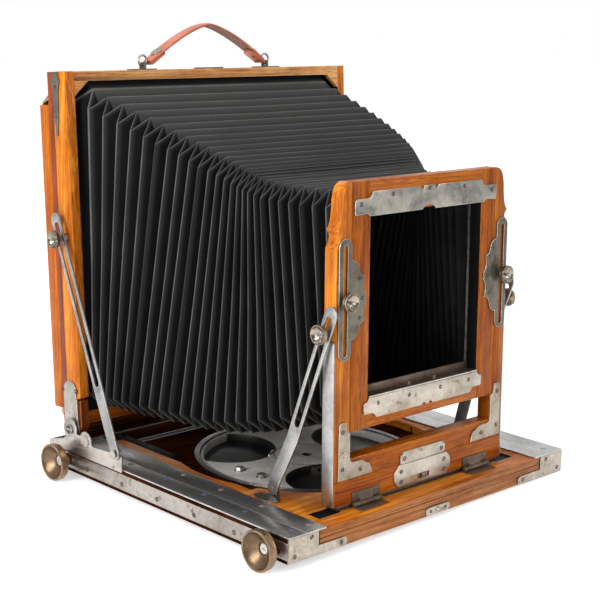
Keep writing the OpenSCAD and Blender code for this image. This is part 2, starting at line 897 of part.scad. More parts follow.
// ---------- clamp knobs ----------

// A small cupped clamp knob with its foot at the origin, opening towards +Z
module clamp_knob() {
    color("darkgoldenrod") cup_knob(8.6, stud_r + 0.04);
}

module panel_knob(side) {
    front_pose()
        translate([side * rise_stud_x, -panel_proud - plate_t - slide_gap, rise_stud_z])
            rotate([90, 0, 0]) clamp_knob();
}

module panel_knob_left() {
    panel_knob(-1);
}

module panel_knob_right() {
    panel_knob(1);
}

module front_clamp(side) {
    front_pose()
        translate([side * (strut_x + strut_t + slide_gap), front_stud_y, front_stud_z])
            rotate([0, side * 90, 0]) clamp_knob();
}

module front_clamp_left() {
    front_clamp(-1);
}

module front_clamp_right() {
    front_clamp(1);
}

module rear_clamp(side) {
    rear_pose()
        translate([side * (rear_strut_x + strut_t + slide_gap), rear_stud_y, rear_stud_z])
            rotate([0, side * 90, 0]) clamp_knob();
}

module rear_clamp_left() {
    rear_clamp(-1);
}

module rear_clamp_right() {
    rear_clamp(1);
}

// ---------- struts ----------

// Outline of a strut in Y and Z, standing on its foot's pivot
module strut_outline(reach) {
    top = reach + strut_beyond;
    low = 0.45 * strut_w;
    polygon(concat(
        arc([0, top - strut_w / 2], strut_w / 2, 0), [[-strut_w / 2, 0.8 * strut_solid]],
        arc([0, 0], low, 180), [[strut_w / 2, 0.8 * strut_solid]]
    ));
}

// A slotted strut on the right side. It turns on foot and passes the stud. The child
// is its solid plate, between x0 and x1, before the slot and the bore are cut.
module strut(x0, x1, foot, stud) {
    d = stud - foot;
    reach = norm(d);
    translate([0, foot[0], foot[1]]) rotate([-atan2(d[0], d[1]), 0, 0]) difference() {
        children();
        side_plate(x0 - 1, x1 + 1)
            pill([0, strut_solid], [0, reach + strut_beyond - 0.9 * strut_w], slot_w / 2);
        rod_x(x0 - 1, x1 + 1, 0, 0, stud_r + run_gap);
    }
}

module front_strut() {
    foot = [foot_y, foot_z];
    stud = front_point(front_stud_y, front_stud_z);
    reach = norm(stud - foot);
    out_x = strut_x + strut_bend;
    high = reach + strut_beyond + 1;
    kink = 0.75 * strut_solid;
    color("silver") strut(strut_x, out_x + strut_t, foot, stud) intersection() {
        cross_plate(-strut_w, strut_w) polygon([
            [strut_x, high], [strut_x, kink], [out_x, 10], [out_x, -strut_w],
            [out_x + strut_t, -strut_w], [out_x + strut_t, 10],
            [strut_x + strut_t, kink], [strut_x + strut_t, high]
        ]);
        side_plate(strut_x - 1, out_x + strut_t + 1) strut_outline(reach);
    }
}

module front_strut_left() {
    mirror([1, 0, 0]) front_strut();
}

module front_strut_right() {
    front_strut();
}

module rear_strut() {
    foot = [strut_foot_y, strut_foot_z];
    stud = rear_point(rear_stud_y, rear_stud_z);
    end = rear_strut_x + strut_t;
    color("silver") strut(rear_strut_x, end, foot, stud)
        side_plate(rear_strut_x, end) strut_outline(norm(stud - foot));
}

module rear_strut_left() {
    mirror([1, 0, 0]) rear_strut();
}

module rear_strut_right() {
    rear_strut();
}

// ---------- rear frame ----------

module rear_frame() {
    in_x = rear_half - rear_wall;
    color("darkorange") rear_pose() difference() {
        box([-rear_half, 0, rear_low], [rear_half, rear_t, rear_h]);
        box([-in_x, -1, rear_low + rear_rail], [in_x, rear_t + 1, rear_h - rear_top_rail]);
        // The front of the foot is cut back, with a sloping end to the post
        side_plate(-rear_half - 1, rear_half + 1)
            polygon([[-1, rear_low - 1], [-1, foot_notch_z], [foot_notch, foot_notch_z - 4],
                     [foot_notch, rear_low - 1]]);
    }
    // Small corner blocks in the upper corners
    color("darkorange") rear_pose() both_sides()
        cross_plate(0.4, 6)
            polygon([[in_x, rear_h - rear_top_rail], [in_x, rear_h - rear_top_rail - 14],
                     [in_x - 16, rear_h - rear_top_rail]]);
}

// Rounded blocks in the notch at the frame's foot
module foot_blocks() {
    x0 = rear_half - rear_wall;
    low = rear_low - 6;
    color("saddlebrown") rear_pose() both_sides()
        side_plate(x0, rear_half - 0.6) polygon(concat(
            [[foot_notch, foot_notch_z - 4.4], [1.5, foot_notch_z - 3.4]],
            [for (i = [0:8]) [1.5 + 7 * (1 - cos(11 * i)), low + 8 * (1 - sin(11 * i))]],
            [[foot_notch, low]]
        ));
}

module bellows_rear_frame() {
    out_x = rear_half - rear_wall;
    low = rear_low + rear_rail;
    high = rear_h - rear_top_rail;
    color("black") rear_pose() difference() {
        box([-out_x, foot_notch + 1, low], [out_x, foot_notch + 6, high]);
        box([-out_x + 18, 0, low + 18], [out_x - 18, rear_t, high - 18]);
    }
}

module back_frame() {
    filler_t = rear_t - foot_notch - 6.5;
    color("maroon") rear_pose() difference() {
        box([-back_half, rear_t, back_low], [back_half, rear_t + back_t, back_high]);
        box([-glass_half - slide_gap, 0, glass_low - slide_gap],
            [glass_half + slide_gap, rear_t + back_t + 1, glass_high + screen_swing]);
    }
    // A filler behind the frame's upper rail closes the gap above the back
    color("maroon") rear_pose()
        box([-rear_half + rear_wall, rear_t - filler_t, back_high - 12],
            [rear_half - rear_wall, rear_t + eps, rear_h - rear_top_rail]);
}

module focusing_frame() {
    front = rear_t + 2;
    color("sienna") rear_pose() difference() {
        box([-glass_half, front, glass_low], [glass_half, rear_t + back_t - 1, glass_high]);
        box([-glass_half + glass_rim, 0, glass_low + glass_rim],
            [glass_half - glass_rim, rear_t + back_t + 1, glass_high - glass_rim]);
        box([-glass_half + glass_rim - 3, 0, glass_low + glass_rim - 3],
            [glass_half - glass_rim + 3, front + 3, glass_high - glass_rim + 3]);
    }
}

module ground_glass() {
    front = rear_t + 2;
    rim = glass_rim - 3 + slide_gap;
    color("lightcyan") rear_pose()
        box([-glass_half + rim, front + 0.8, glass_low + rim],
            [glass_half - rim, front + 3, glass_high - rim]);
}

// Fixed leaves, outer knuckles and pins of the focusing frame's two hinges
module screen_hinges() {
    y = rear_t + back_t;
    color("darkgoldenrod") rear_pose() both_sides() {
        box([screen_in, y, glass_low - 12], [screen_out, y + 1, glass_low - 3.4]);
        for (x = [screen_in, screen_out - 6]) {
            difference() {
                rod_x(x, x + 6, screen_y, glass_low, screen_r);
                rod_x(x - 1, x + 7, screen_y, glass_low, screen_pin_r);
            }
            box([x, y, glass_low - 4], [x + 6, screen_y, glass_low - 1.2]);
        }
        rod_x(screen_in - 0.4, screen_out + 0.4, screen_y, glass_low, screen_pin_r);
    }
}

// Leaves and middle knuckles on the focusing frame
module screen_leaves() {
    y = rear_t + back_t - 1;
    x0 = screen_in + 6 + slide_gap;
    x1 = screen_out - 6 - slide_gap;
    color("darkgoldenrod") rear_pose() both_sides() difference() {
        union() {
            rod_x(x0, x1, screen_y, glass_low, screen_r);
            box([x0, y, glass_low + 1.2], [x1, screen_y, glass_low + 2]);
            box([x0, y, glass_low + 1.2], [x1, y + 1, glass_low + 4]);
            box([screen_in, y, glass_low + 3.2], [screen_out, y + 1, glass_low + 13]);
        }
        rod_x(x0 - 1, x1 + 1, screen_y, glass_low, screen_pin_r + run_gap);
    }
}

// Plates on the sides of the frame, which carry its pivots, and the collared studs for
// the rear struts' clamp knobs
module side_hinge_plates() {
    pivot = [pivot_y, pivot_z];
    base = rear_point(0, 0);
    // The pivot in the frame's own coordinates
    d = pivot - base;
    p = [d[0] * cos(rear_lean) - d[1] * sin(rear_lean), d[0] * sin(rear_lean) + d[1] * cos(rear_lean)];
    color("silver") rear_pose() both_sides() {
        difference() {
            side_plate(rear_half, rear_half + plate_t) {
                translate([p[0] + 3, 42]) circle(r = 10.5);
                translate([p[0] - 7.5, p[1] - 4]) square([21, 46 - p[1]]);
                translate(p) circle(r = 9);
            }
            rod_x(rear_half - 1, rear_half + 3, p[0] - 10, 38.5, 4);
        }
        rod_x(rear_half, bracket_out + 2, p[0], p[1], pivot_r);
        rod_x(bracket_out + slide_gap, bracket_out + 2, p[0], p[1], 4.6);
        rod_x(rear_half, rear_strut_x + strut_t + 10.5, rear_stud_y, rear_stud_z, stud_r);
        rod_x(rear_half, rear_strut_x - slide_gap, rear_stud_y, rear_stud_z, 4.5);
    }
}

// Long latch plates on the frame's upper sides, plates on its top, and the handle's eyes
module top_fittings() {
    eye_z = rear_h + 4;
    eye_y = rear_t / 2 + 1;
    color("gray") rear_pose() {
        both_sides() {
            translate([0, 16, rear_h]) side_plate(rear_half, rear_half + 1.2)
                polygon(whole([
                    [3.8, 0], [4.5, -2.8], [5.5, -6], [7.4, -9.7], [5.9, -11.7], [4.6, -17.3],
                    [4.1, -28.6], [4.7, -30.6], [4, -31.9], [3.1, -47.6], [2.1, -48.4],
                    [1.9, -57.7], [0.9, -58.9]
                ]));
            box([handle_span / 2 - 10, 6, rear_h], [handle_span / 2 + 12, rear_t - 4, rear_h + 1]);
            difference() {
                box([handle_span / 2 - 1, eye_y - 4.5, rear_h + 1 - eps],
                    [handle_span / 2 + 1, eye_y + 4.5, eye_z + 3.4]);
                rod_x(handle_span / 2 - 3, handle_span / 2 + 3, eye_y, eye_z, 1.9);
            }
        }
        box([-19, 2, rear_h], [11, 12, rear_h + 1.2]);
    }
}

// Hooked spring catches that hold the back against the frame
module back_catches() {
    y = rear_t + back_t;
    color("darkgoldenrod") rear_pose() both_sides() {
        x0 = rear_half - 14;
        x1 = rear_half - 5;
        box([x0, rear_t, back_high + 8], [x1, rear_t + 1.2, rear_h - 4]);
        side_plate(x0, x1)
            polygon([[rear_t + 1, back_high + 14], [rear_t, back_high + 8], [y + 0.3, back_high + 1],
                     [y + 0.3, back_high - 6], [y + 1.5, back_high - 6], [y + 1.5, back_high + 2]]);
        side_plate(x0, x1)
            polygon([[rear_t, back_low - 9], [rear_t, back_low - 0.3], [rear_t + 9, back_low - 0.3],
                     [rear_t + 12, back_low - 4], [rear_t + 9, back_low - 8]]);
    }
}

// ---------- bellows ----------

// Where a share u of the folds lies along the bellows' upper and lower edges, from 0 at
// the lens to 1 at the back: the pleats hang pressed together below, near the front
function upper_place(u) = let (v = u - 0.38) 0.332 + 0.218 * v + (v > 0 ? 1.385 : -1.725) * v * v;
function lower_place(u) = u + 1.1 * u * (1 - u) * (u - 0.385);

// Height of the upper and lower corners at a share u of the folds
function upper_height(u) = let (
    front = front_foot_z + front_h - 11,
    back = rear_point(foot_notch + 0.7, rear_h - 13)[1]
) front + (back - front) * pow(max(0, u - 0.15) / 0.85, 1.7);
function lower_height(u) = let (
    low = front_foot_z + 31,
    front = front_foot_z + panel_low + 11.3
) low + (front - low) * pow(max(0, 1 - 2 * u), 1.5) + 6.3 * pow(max(0, (u - 0.7) / 0.3), 2);

// Corner of a ring: on even folds the sides stand out and the top and bottom lie in,
// on odd folds it is the other way round, so the corners fold in zigzags
function corner_x(k, c, d) = k % 2 == 0 ? [0, c - 1] : [d, c];
function corner_z(k, c, d) = k % 2 == 0 ? [c, d] : [c - 1, 0];

// Ring k of the bellows' outer face, or of its inner face when in is the cloth's thickness
function pleat_ring(k, in) = let (
    u = k / (2 * pleats),
    front = front_point(front_t + 4.3, 0),
    back = rear_point(foot_notch + 0.7, 0),
    d = pleat_d * min(1, min(k, 2 * pleats - k) / 2),
    x = corner_x(k, pleat_corner, d),
    z = corner_z(k, pleat_corner, d),
    w = panel_half - 3 + (rear_half - rear_wall - panel_half - 0.6) * u - in,
    low = lower_height(u),
    high = upper_height(u)
) [for (p = [
        [w - x[1], low + in + z[1]], [w - x[0], low + in + z[0]],
        [w - x[0], high - in - z[0]], [w - x[1], high - in - z[1]],
        [-w + x[1], high - in - z[1]], [-w + x[0], high - in - z[0]],
        [-w + x[0], low + in + z[0]], [-w + x[1], low + in + z[1]]
    ]) let (
        h = (p[1] - low) / (high - low),
        y0 = front[0] + tan(front_lean) * (p[1] - front_foot_z),
        y1 = back[0] + tan(rear_lean) * (p[1] - rear_base_z)
    ) [p[0], y0 + (y1 - y0) * 0.998 * (lower_place(u) * (1 - h) + upper_place(u) * h), p[1]]];

// The two triangles between folds k and k + 1 on side j of the ring, creased between
// the corners that stand out
function pleat_faces(k, j, m) = let (a = k * m + j, b = k * m + (j + 1) % m)
    (k % 2 == 0) == (j % 4 == 2)
        ? [[a, b, b + m], [a, b + m, a + m]]
        : [[a, b, a + m], [b, b + m, a + m]];

module bellows() {
    folds = 2 * pleats + 1;
    m = 8;
    outer = [for (k = [0:folds - 1]) each pleat_ring(k, 0)];
    inner = [for (k = [0:folds - 1]) each pleat_ring(k, cloth_t)];
    total = folds * m;
    outer_faces = [for (k = [0:folds - 2], j = [0:m - 1]) each pleat_faces(k, j, m)];
    inner_faces = [for (f = outer_faces) [f[2] + total, f[1] + total, f[0] + total]];
    front_rim = [for (j = [0:m - 1]) let (a = j, b = (j + 1) % m)
        each [[a + total, b + total, b], [a + total, b, a]]];
    last = (folds - 1) * m;
    back_rim = [for (j = [0:m - 1]) let (a = last + j, b = last + (j + 1) % m)
        each [[b, b + total, a + total], [a, b, a + total]]];
    color([0.08, 0.08, 0.09])
        polyhedron(points = concat(outer, inner),
                   faces = concat(outer_faces, inner_faces, front_rim, back_rim), convexity = 10);
}

// ---------- handle ----------

// Height of the strap at a share u of its span, from -1 to 1
function strap_z(u) = 1 + handle_rise * (1 - pow(abs(u), 1.6));

ring_mean_r = 5;
wire_r = 1.1;

module at_handle() {
    rear_pose() translate([0, rear_t / 2 + 1, rear_h + 4]) children();
}

module handle_strap() {
    strap_t = 4;
    half = handle_span / 2 - 3;
    n = 24;
    shares = [for (i = [0:n]) -1 + 2 * i / n];
    top = [for (u = shares) [u * half, strap_z(u) + strap_t]];
    under = [for (i = [n:-1:0]) [shares[i] * (half - strap_t), strap_z(shares[i])]];
    color("chocolate") at_handle() difference() {
        cross_plate(-handle_w / 2, handle_w / 2) polygon(concat(top, under));
        both_sides() translate([handle_span / 2, handle_w, ring_mean_r]) rotate([90, 0, 0])
            cylinder(h = 2 * handle_w, r = ring_mean_r + 1.6);
    }
}

module handle_rings() {
    color("silver") at_handle() both_sides()
        translate([handle_span / 2, 0, ring_mean_r]) rotate([90, 0, 0])
            rotate_extrude() translate([ring_mean_r, 0]) circle(r = wire_r);
}

bed_frame();
bed_board();
deck_strips();
side_plates();
corner_brackets();
turntable_ring();
turntable_retainer();
turntable_spider();
turntable_floor();
turntable_bolts();
front_board();
extension_sides();
front_racks();
butt_hinges();
strut_feet();
front_shaft();
front_knob();
carriage_board();
carriage_brackets();
rear_racks();
rear_shaft();
rear_knob();
standard_block();
standard_sole();
lens_frame();
hinge_flaps();
corner_plates();
lock_plates();
lock_catch();
side_bars();
lens_panel();
panel_top_plate();
panel_bottom_plate();
rise_plates();
bellows_front_frame();
panel_knob_left();
panel_knob_right();
front_strut_left();
front_strut_right();
front_clamp_left();
front_clamp_right();
rear_frame();
foot_blocks();
bellows_rear_frame();
bellows();
back_frame();
side_hinge_plates();
top_fittings();
back_catches();
screen_hinges();
screen_leaves();
focusing_frame();
ground_glass();
rear_strut_left();
rear_strut_right();
rear_clamp_left();
rear_clamp_right();
handle_strap();
handle_rings();
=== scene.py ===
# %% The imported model
import json
import math
import random
import bpy
from mathutils import Matrix, Vector

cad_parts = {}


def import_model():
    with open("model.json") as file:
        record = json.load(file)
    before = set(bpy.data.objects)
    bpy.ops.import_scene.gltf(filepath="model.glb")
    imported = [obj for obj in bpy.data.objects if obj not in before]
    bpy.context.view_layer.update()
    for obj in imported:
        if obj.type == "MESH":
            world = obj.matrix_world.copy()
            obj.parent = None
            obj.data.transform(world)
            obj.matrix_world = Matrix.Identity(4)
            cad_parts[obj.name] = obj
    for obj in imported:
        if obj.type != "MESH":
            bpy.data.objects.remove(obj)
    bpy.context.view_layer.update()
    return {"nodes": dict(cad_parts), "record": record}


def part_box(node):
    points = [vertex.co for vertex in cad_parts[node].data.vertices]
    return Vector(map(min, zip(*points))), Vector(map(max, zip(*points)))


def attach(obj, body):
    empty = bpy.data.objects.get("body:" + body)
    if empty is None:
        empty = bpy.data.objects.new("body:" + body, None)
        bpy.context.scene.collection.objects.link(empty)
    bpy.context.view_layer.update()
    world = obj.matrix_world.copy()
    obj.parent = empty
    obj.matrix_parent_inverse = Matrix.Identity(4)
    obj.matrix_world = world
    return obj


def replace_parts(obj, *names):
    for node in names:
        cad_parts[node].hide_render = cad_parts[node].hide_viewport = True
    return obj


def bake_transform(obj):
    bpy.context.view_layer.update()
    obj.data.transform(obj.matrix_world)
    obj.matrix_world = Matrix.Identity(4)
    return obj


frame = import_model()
NODES = frame["nodes"]
BODY_OF = {n: b for b, ns in frame["record"]["behaviour"]["bodies"].items() for n in ns}

# %% [markdown]
# # A large wooden field camera
# The solids loaded above are exact but bare: sharp edges and no finish. This lesson turns
# each of them into a piece a joiner or a brass worker would recognise. Lengths are given
# in millimetres and turned into metres by `mm`.

# %% Units, and the two sides of the camera
mm = 0.001
SIDES = (("left", -1), ("right", 1))
print("one unit is", mm, "m")

# %% [markdown]
# Blender's operators act on all that is selected, in the mode that is on. So each step
# starts clean, with one piece picked. Edit mode is entered only for work on the mesh.


# %% Helpers for objects
def mode(name):
    bpy.ops.object.mode_set(mode=name)


def select(action="SELECT"):
    bpy.ops.mesh.select_all(action=action)


def clean():
    if bpy.context.object and bpy.context.object.mode != "OBJECT":
        mode("OBJECT")
    bpy.ops.object.select_all(action="DESELECT")


def pick(piece):
    clean()
    piece.select_set(True)
    bpy.context.view_layer.objects.active = piece
    return piece


def edit_all():
    mode("EDIT")
    select()


def add(name, data):
    """Puts an object with this data in the scene."""
    made = bpy.data.objects.new(name, data)
    bpy.context.scene.collection.objects.link(made)
    return made


def paint(piece, *finishes):
    for finish in finishes:
        piece.data.materials.append(finish)


def modify(piece, kind, **settings):
    """Adds a modifier with these settings and applies it; the piece has to be the active one."""
    made = piece.modifiers.new(kind, kind)
    for key, value in settings.items():
        setattr(made, key, value)
    bpy.ops.object.modifier_apply(modifier=made.name)


# %% [markdown]
# The two standards lean back. A place on one of them is easiest to give as if it stood
# upright on its own foot, and to lean afterwards.

# %% Places on the bed and on the two leaning standards
def point(x, y, z):
    return Vector((x * mm, y * mm, z * mm))


def front_at(x, y, z):
    """A place on the front standard, which leans back by 1.5 degrees."""
    a = math.radians(1.5)
    return point(x, -148.7 + y * math.cos(a) + z * math.sin(a), 25.4 - y * math.sin(a) + z * math.cos(a))


def rear_at(x, y, z):
    """A place on the rear standard, which leans back by 4 degrees."""
    a = math.radians(4)
    return point(x, 120.4 + y * math.cos(a) + z * math.sin(a), 37 - y * math.sin(a) + z * math.cos(a))


# %% [markdown]
# ## Camera, light and floor
# A view camera is usually shown from a front corner, a little from above. The lens is long,
# so that the bed's lines stay nearly parallel. The object stands on its two racking knobs
# and on the far edge of its bed, so the floor is a plane that leans by about one degree.

# %% The camera
AIM = point(-46.3, -32.2, 183.2)
AZIMUTH, ELEVATION, ROLL = math.radians(-44.1), math.radians(11.9), math.radians(1.5)
DISTANCE = 1.3148   # metres
back = Vector((math.sin(AZIMUTH) * math.cos(ELEVATION), -math.cos(AZIMUTH) * math.cos(ELEVATION),
               math.sin(ELEVATION)))
side = Vector((0, 0, 1)).cross(back).normalized()
up = back.cross(side)
lens = bpy.data.cameras.new("view")
lens.lens, lens.sensor_width = 85.8, 36
camera = add("view", lens)
across = math.cos(ROLL) * side + math.sin(ROLL) * up
upright = math.cos(ROLL) * up - math.sin(ROLL) * side
turn = Matrix((across, upright, back)).transposed().to_4x4()
camera.matrix_world = Matrix.Translation(AIM + DISTANCE * back) @ turn
bpy.context.scene.camera = camera
bpy.context.scene.view_settings.view_transform = "Standard"
print("camera at", [round(v, 3) for v in camera.location])


# %% [markdown]
# ### Helpers for materials
# Materials here are trees of nodes, and a tree built in code soon fills the screen. Each
# helper adds one node or one common group, so that a finish reads as a recipe: where on
# the piece, which noise, which colours, and how they are mixed.


# %% Helpers for materials made of nodes
def put(tree, kind, links=None, **settings):
    """Adds a shader node, sets its properties, and fills its inputs with values or links."""
    made = tree.nodes.new("ShaderNode" + kind)
    for key, value in settings.items():
        setattr(made, key, value)
    for key, value in (links or {}).items():
        if isinstance(value, bpy.types.NodeSocket):
            tree.links.new(value, made.inputs[key])
        else:
            made.inputs[key].default_value = value
    return made


def finish_start(name, inputs=None):
    """A new material with one shader, some of whose inputs are set by name."""
    material = bpy.data.materials.new(name)
    material.use_nodes = True
    tree = material.node_tree
    tree.nodes.clear()
    shader = put(tree, "BsdfPrincipled", inputs)
    put(tree, "OutputMaterial", {"Surface": shader.outputs[0]})
    return material, tree, shader


# %% Colour ramps, mixes and noise
def ramp(tree, value, stops):
    """A colour ramp; stops are (place, grey or colour)."""
    made = put(tree, "ValToRGB", {"Fac": value})
    marks = made.color_ramp.elements
    while len(marks) < len(stops):
        marks.new(0.5)
    for mark, (place, colour) in zip(marks, stops):
        mark.position = place
        mark.color = (*colour, 1) if isinstance(colour, tuple) else (colour, colour, colour, 1)
    return made.outputs["Color"]


def mix(tree, how, amount, a, b):
    made = put(tree, "Mix", data_type="RGBA", blend_type=how)
    for index, value in ((0, amount), (6, a), (7, b)):
        if isinstance(value, bpy.types.NodeSocket):
            tree.links.new(value, made.inputs[index])
        else:
            made.inputs[index].default_value = value if index == 0 else (*value, 1)
    return made.outputs[2]


def maths(tree, how, *values):
    return put(tree, "Math", dict(enumerate(values)), operation=how).outputs[0]


def noise(tree, where, scale, detail=4, rough=0.55, distort=0.0):
    return put(tree, "TexNoise", {"Vector": where, "Scale": scale, "Detail": detail,
                                  "Roughness": rough, "Distortion": distort}).outputs["Fac"]


def place(tree, scale=(1, 1, 1), shift=(0, 0, 0)):
    spot = put(tree, "TexCoord").outputs["Object"]
    return put(tree, "Mapping", {"Vector": spot, "Scale": scale, "Location": shift}).outputs[0]


def bump(tree, shader, height, distance, strength=1.0):
    made = put(tree, "Bump", {"Height": height, "Distance": distance, "Strength": strength})
    tree.links.new(made.outputs[0], shader.inputs["Normal"])


# %% [markdown]
# ### The floor and the lamps
# The floor is white paper. A little glow, added only where the camera looks, straight or
# in a mirror, keeps it plain white, and it still takes the object's shadow. The sky gives
# even light, and three soft lamps give the varnish and the metal something to reflect.

# %% The floor
DROP, PIVOT, REACH = 7.3, 204, 389   # the knobs hang by DROP, PIVOT to the left, REACH from the far edge
clean()
bpy.ops.mesh.primitive_plane_add(size=12)
floor = bpy.context.object
floor.name = "paper_floor"
lean = Matrix.Rotation(-math.atan(DROP / REACH), 4, "Y")
pivot = Matrix.Translation(point(-PIVOT, 0, 0))
floor.data.transform(Matrix.Translation(point(0, 0, -7.6)) @ pivot @ lean @ pivot.inverted())
paper, tree, shader = finish_start("white_paper", {
    "Base Color": (0.95, 0.95, 0.95, 1), "Roughness": 0.9, "Specular IOR Level": 0.1})
rays = put(tree, "LightPath")
seen = maths(tree, "MAXIMUM", rays.outputs["Is Camera Ray"], rays.outputs["Is Glossy Ray"])
seen = maths(tree, "MAXIMUM", seen, rays.outputs["Is Transmission Ray"])
glow = put(tree, "Emission", {"Strength": maths(tree, "MULTIPLY", seen, 0.52)})
both = put(tree, "AddShader", {0: shader.outputs[0], 1: glow.outputs[0]})
tree.links.new(both.outputs[0], tree.nodes["Material Output"].inputs["Surface"])
paint(floor, paper)
print("floor leans by", round(math.degrees(math.atan(DROP / REACH)), 2), "degrees")

# %% [markdown]
# The sky is white too, and the glossy parts see it brighter on one side than on the other,
# so that flat metal shows which way it faces.

# %% The sky
world = bpy.data.worlds.new("studio")
bpy.context.scene.world = world
world.use_nodes = True
tree = world.node_tree
rays = put(tree, "LightPath")
seen = maths(tree, "MAXIMUM", rays.outputs["Is Camera Ray"], rays.outputs["Is Transmission Ray"])
heading = put(tree, "VectorMath", {0: put(tree, "TexCoord").outputs["Generated"], 1: (0.62, 0.70, 0.35)},
              operation="DOT_PRODUCT").outputs["Value"]
mirror = put(tree, "MapRange", {"Value": heading, "From Min": -0.6, "From Max": 0.8, "To Min": -0.12,
                                "To Max": 0.48}).outputs[0]
mirror = maths(tree, "MULTIPLY", mirror, rays.outputs["Is Glossy Ray"])
strength = maths(tree, "ADD", maths(tree, "MULTIPLY_ADD", seen, 0.50, 0.50), mirror)
sky = tree.nodes["Background"]
sky.inputs["Color"].default_value = (1, 1, 1, 1)
tree.links.new(strength, sky.inputs["Strength"])
print(len(tree.nodes), "nodes in the sky")


# %% The lamps
def lamp(name, spot, size, power):
    light = bpy.data.lights.new(name, "AREA")
    light.shape, light.size, light.size_y, light.energy = "RECTANGLE", size[0], size[1], power
    made = add(name, light)
    aim = Vector((0, 0, 0.18)) - Vector(spot)
    made.matrix_world = Matrix.Translation(spot) @ aim.to_track_quat("-Z", "Y").to_matrix().to_4x4()


lamp("left_window", (-2.0, -0.1, 0.9), (1.0, 1.6), 46)
lamp("front_window", (0.7, -2.0, 1.0), (1.6, 1.2), 15)
lamp("top_window", (0.1, 0.5, 2.0), (1.8, 1.4), 10)
print("three lamps")

# %% [markdown]
# ## Finishes
# ### Varnished wood
# The frames are mahogany under old varnish. Wood is strongly directional: pores and
# figure run along a board, so each board needs its grain turned to its own length. The
# pattern is noise on coordinates that are squeezed along one axis: broad figure, fine
# streaks, short dark pores, and slow blotches of darker varnish.

# %% Wood
SEAM = 0.4 * mm   # half the width of a glue line
SQUEEZE = {"X": lambda k: (k, 1, 1), "Y": lambda k: (1, k, 1), "Z": lambda k: (1, 1, k)}
WHITE = (1.0, 1.0, 1.0)


def varnished(name, axis, deep, body, light, coat=0.09, shift=0.0, gloss=0.30, level=0.10, strip=None):
    """Varnished wood with its grain along an axis; deep, body and light are its three colours."""
    material, tree, shader = finish_start(name, {
        "Specular IOR Level": level, "Coat Weight": coat, "Coat Roughness": 0.14})
    spread = SQUEEZE[axis]
    seed = (shift, shift * 1.7, shift * 0.6)
    figure = noise(tree, place(tree, spread(0.055), seed), 105, 7, 0.66, 0.8)
    wood = ramp(tree, figure, [(0.32, deep), (0.48, body), (0.66, light)])
    streaks = noise(tree, place(tree, spread(0.014), seed), 560, 4, 0.66)
    wood = mix(tree, "MULTIPLY", 0.6, wood, ramp(tree, streaks, [(0.38, (0.50, 0.30, 0.20)), (0.56, WHITE)]))
    flecks = noise(tree, place(tree, spread(0.03), (seed[0] + 2, 1, seed[2])), 760, 3, 0.6)
    shine = tuple(0.6 * c for c in light)
    wood = mix(tree, "SCREEN", ramp(tree, flecks, [(0.56, 0.0), (0.70, 0.30)]), wood, shine)
    pores = noise(tree, place(tree, spread(0.06), seed), 1300, 2, 0.5)
    dark_pores = ramp(tree, pores, [(0.33, 0.0), (0.42, 1.0)])
    wood = mix(tree, "MULTIPLY", 0.5, wood, dark_pores)
    blotch = noise(tree, place(tree, (1, 1, 1), seed), 11, 4, 0.62, 0.5)
    wood = mix(tree, "MULTIPLY", 0.7, wood, ramp(tree, blotch, [(0.36, (0.56, 0.40, 0.30)), (0.58, WHITE)]))
    if strip:   # a darker board glued on, past a distance along a direction
        away, far = strip
        depth = put(tree, "VectorMath", {0: place(tree), 1: away}, operation="DOT_PRODUCT").outputs["Value"]
        past = maths(tree, "GREATER_THAN", depth, far)
        wood = mix(tree, "MULTIPLY", past, wood, (0.40, 0.20, 0.11))
        seam = maths(tree, "COMPARE", depth, far, SEAM)
        wood = mix(tree, "MULTIPLY", seam, wood, (0.25, 0.2, 0.2))
    tree.links.new(wood, shader.inputs["Base Color"])
    tree.links.new(ramp(tree, blotch, [(0.3, gloss + 0.16), (0.7, gloss)]), shader.inputs["Roughness"])
    bump(tree, shader, mix(tree, "MIX", 0.4, dark_pores, streaks), 0.00012, 0.5)
    return material


def woods(name, colours, edge, **more):
    """The same finish with its grain along X, Y and Z, and the finish of its rubbed edges."""
    kinds = {axis: varnished(name + axis, axis, *colours, **more) for axis in "XYZ"}
    kinds["edge"] = edge
    return kinds


# %% [markdown]
# The faces that get most light are amber, a lighter copy of the mahogany that is partly
# painted light, and the rail under the handle is paler still, as painted light. The back
# is redder, the front board's lip and front face are a duller brown as painted shade, and
# the bed is dark, partly its stain and partly painted shade. One recipe with six sets of
# three colours gives them all.

# %% The colours of the woods, from deep to light
# ORANGE is the wood's amber tone, made lighter than the mahogany for the boards that get most light: partly
# painted light.
ORANGE = ((0.30, 0.062, 0.004), (0.62, 0.185, 0.012), (0.86, 0.36, 0.045))
MAHOGANY = ((0.25, 0.052, 0.002), (0.43, 0.107, 0.004), (0.60, 0.19, 0.012))
REDWOOD = ((0.06, 0.013, 0.004), (0.18, 0.042, 0.010), (0.32, 0.095, 0.022))
# PALE is lighter than the rail's wood: painted light on the rear top rail, which faces the front and gets
# little lamp light.
PALE = ((0.58, 0.22, 0.06), (0.90, 0.43, 0.15), (0.97, 0.60, 0.27))
# BROWN is a duller, darker copy of the wood: painted shade on the front board's front face, on its recessed
# lip, and on the bed's front rail.
BROWN = ((0.22, 0.070, 0.018), (0.42, 0.155, 0.045), (0.60, 0.29, 0.10))
# DARK is partly the bed's dark stain and partly painted shade, as the bed lies under the bellows; on the
# edges of the brown boards it is painted shade.
DARK = ((0.012, 0.004, 0.002), (0.034, 0.010, 0.004), (0.08, 0.024, 0.009))

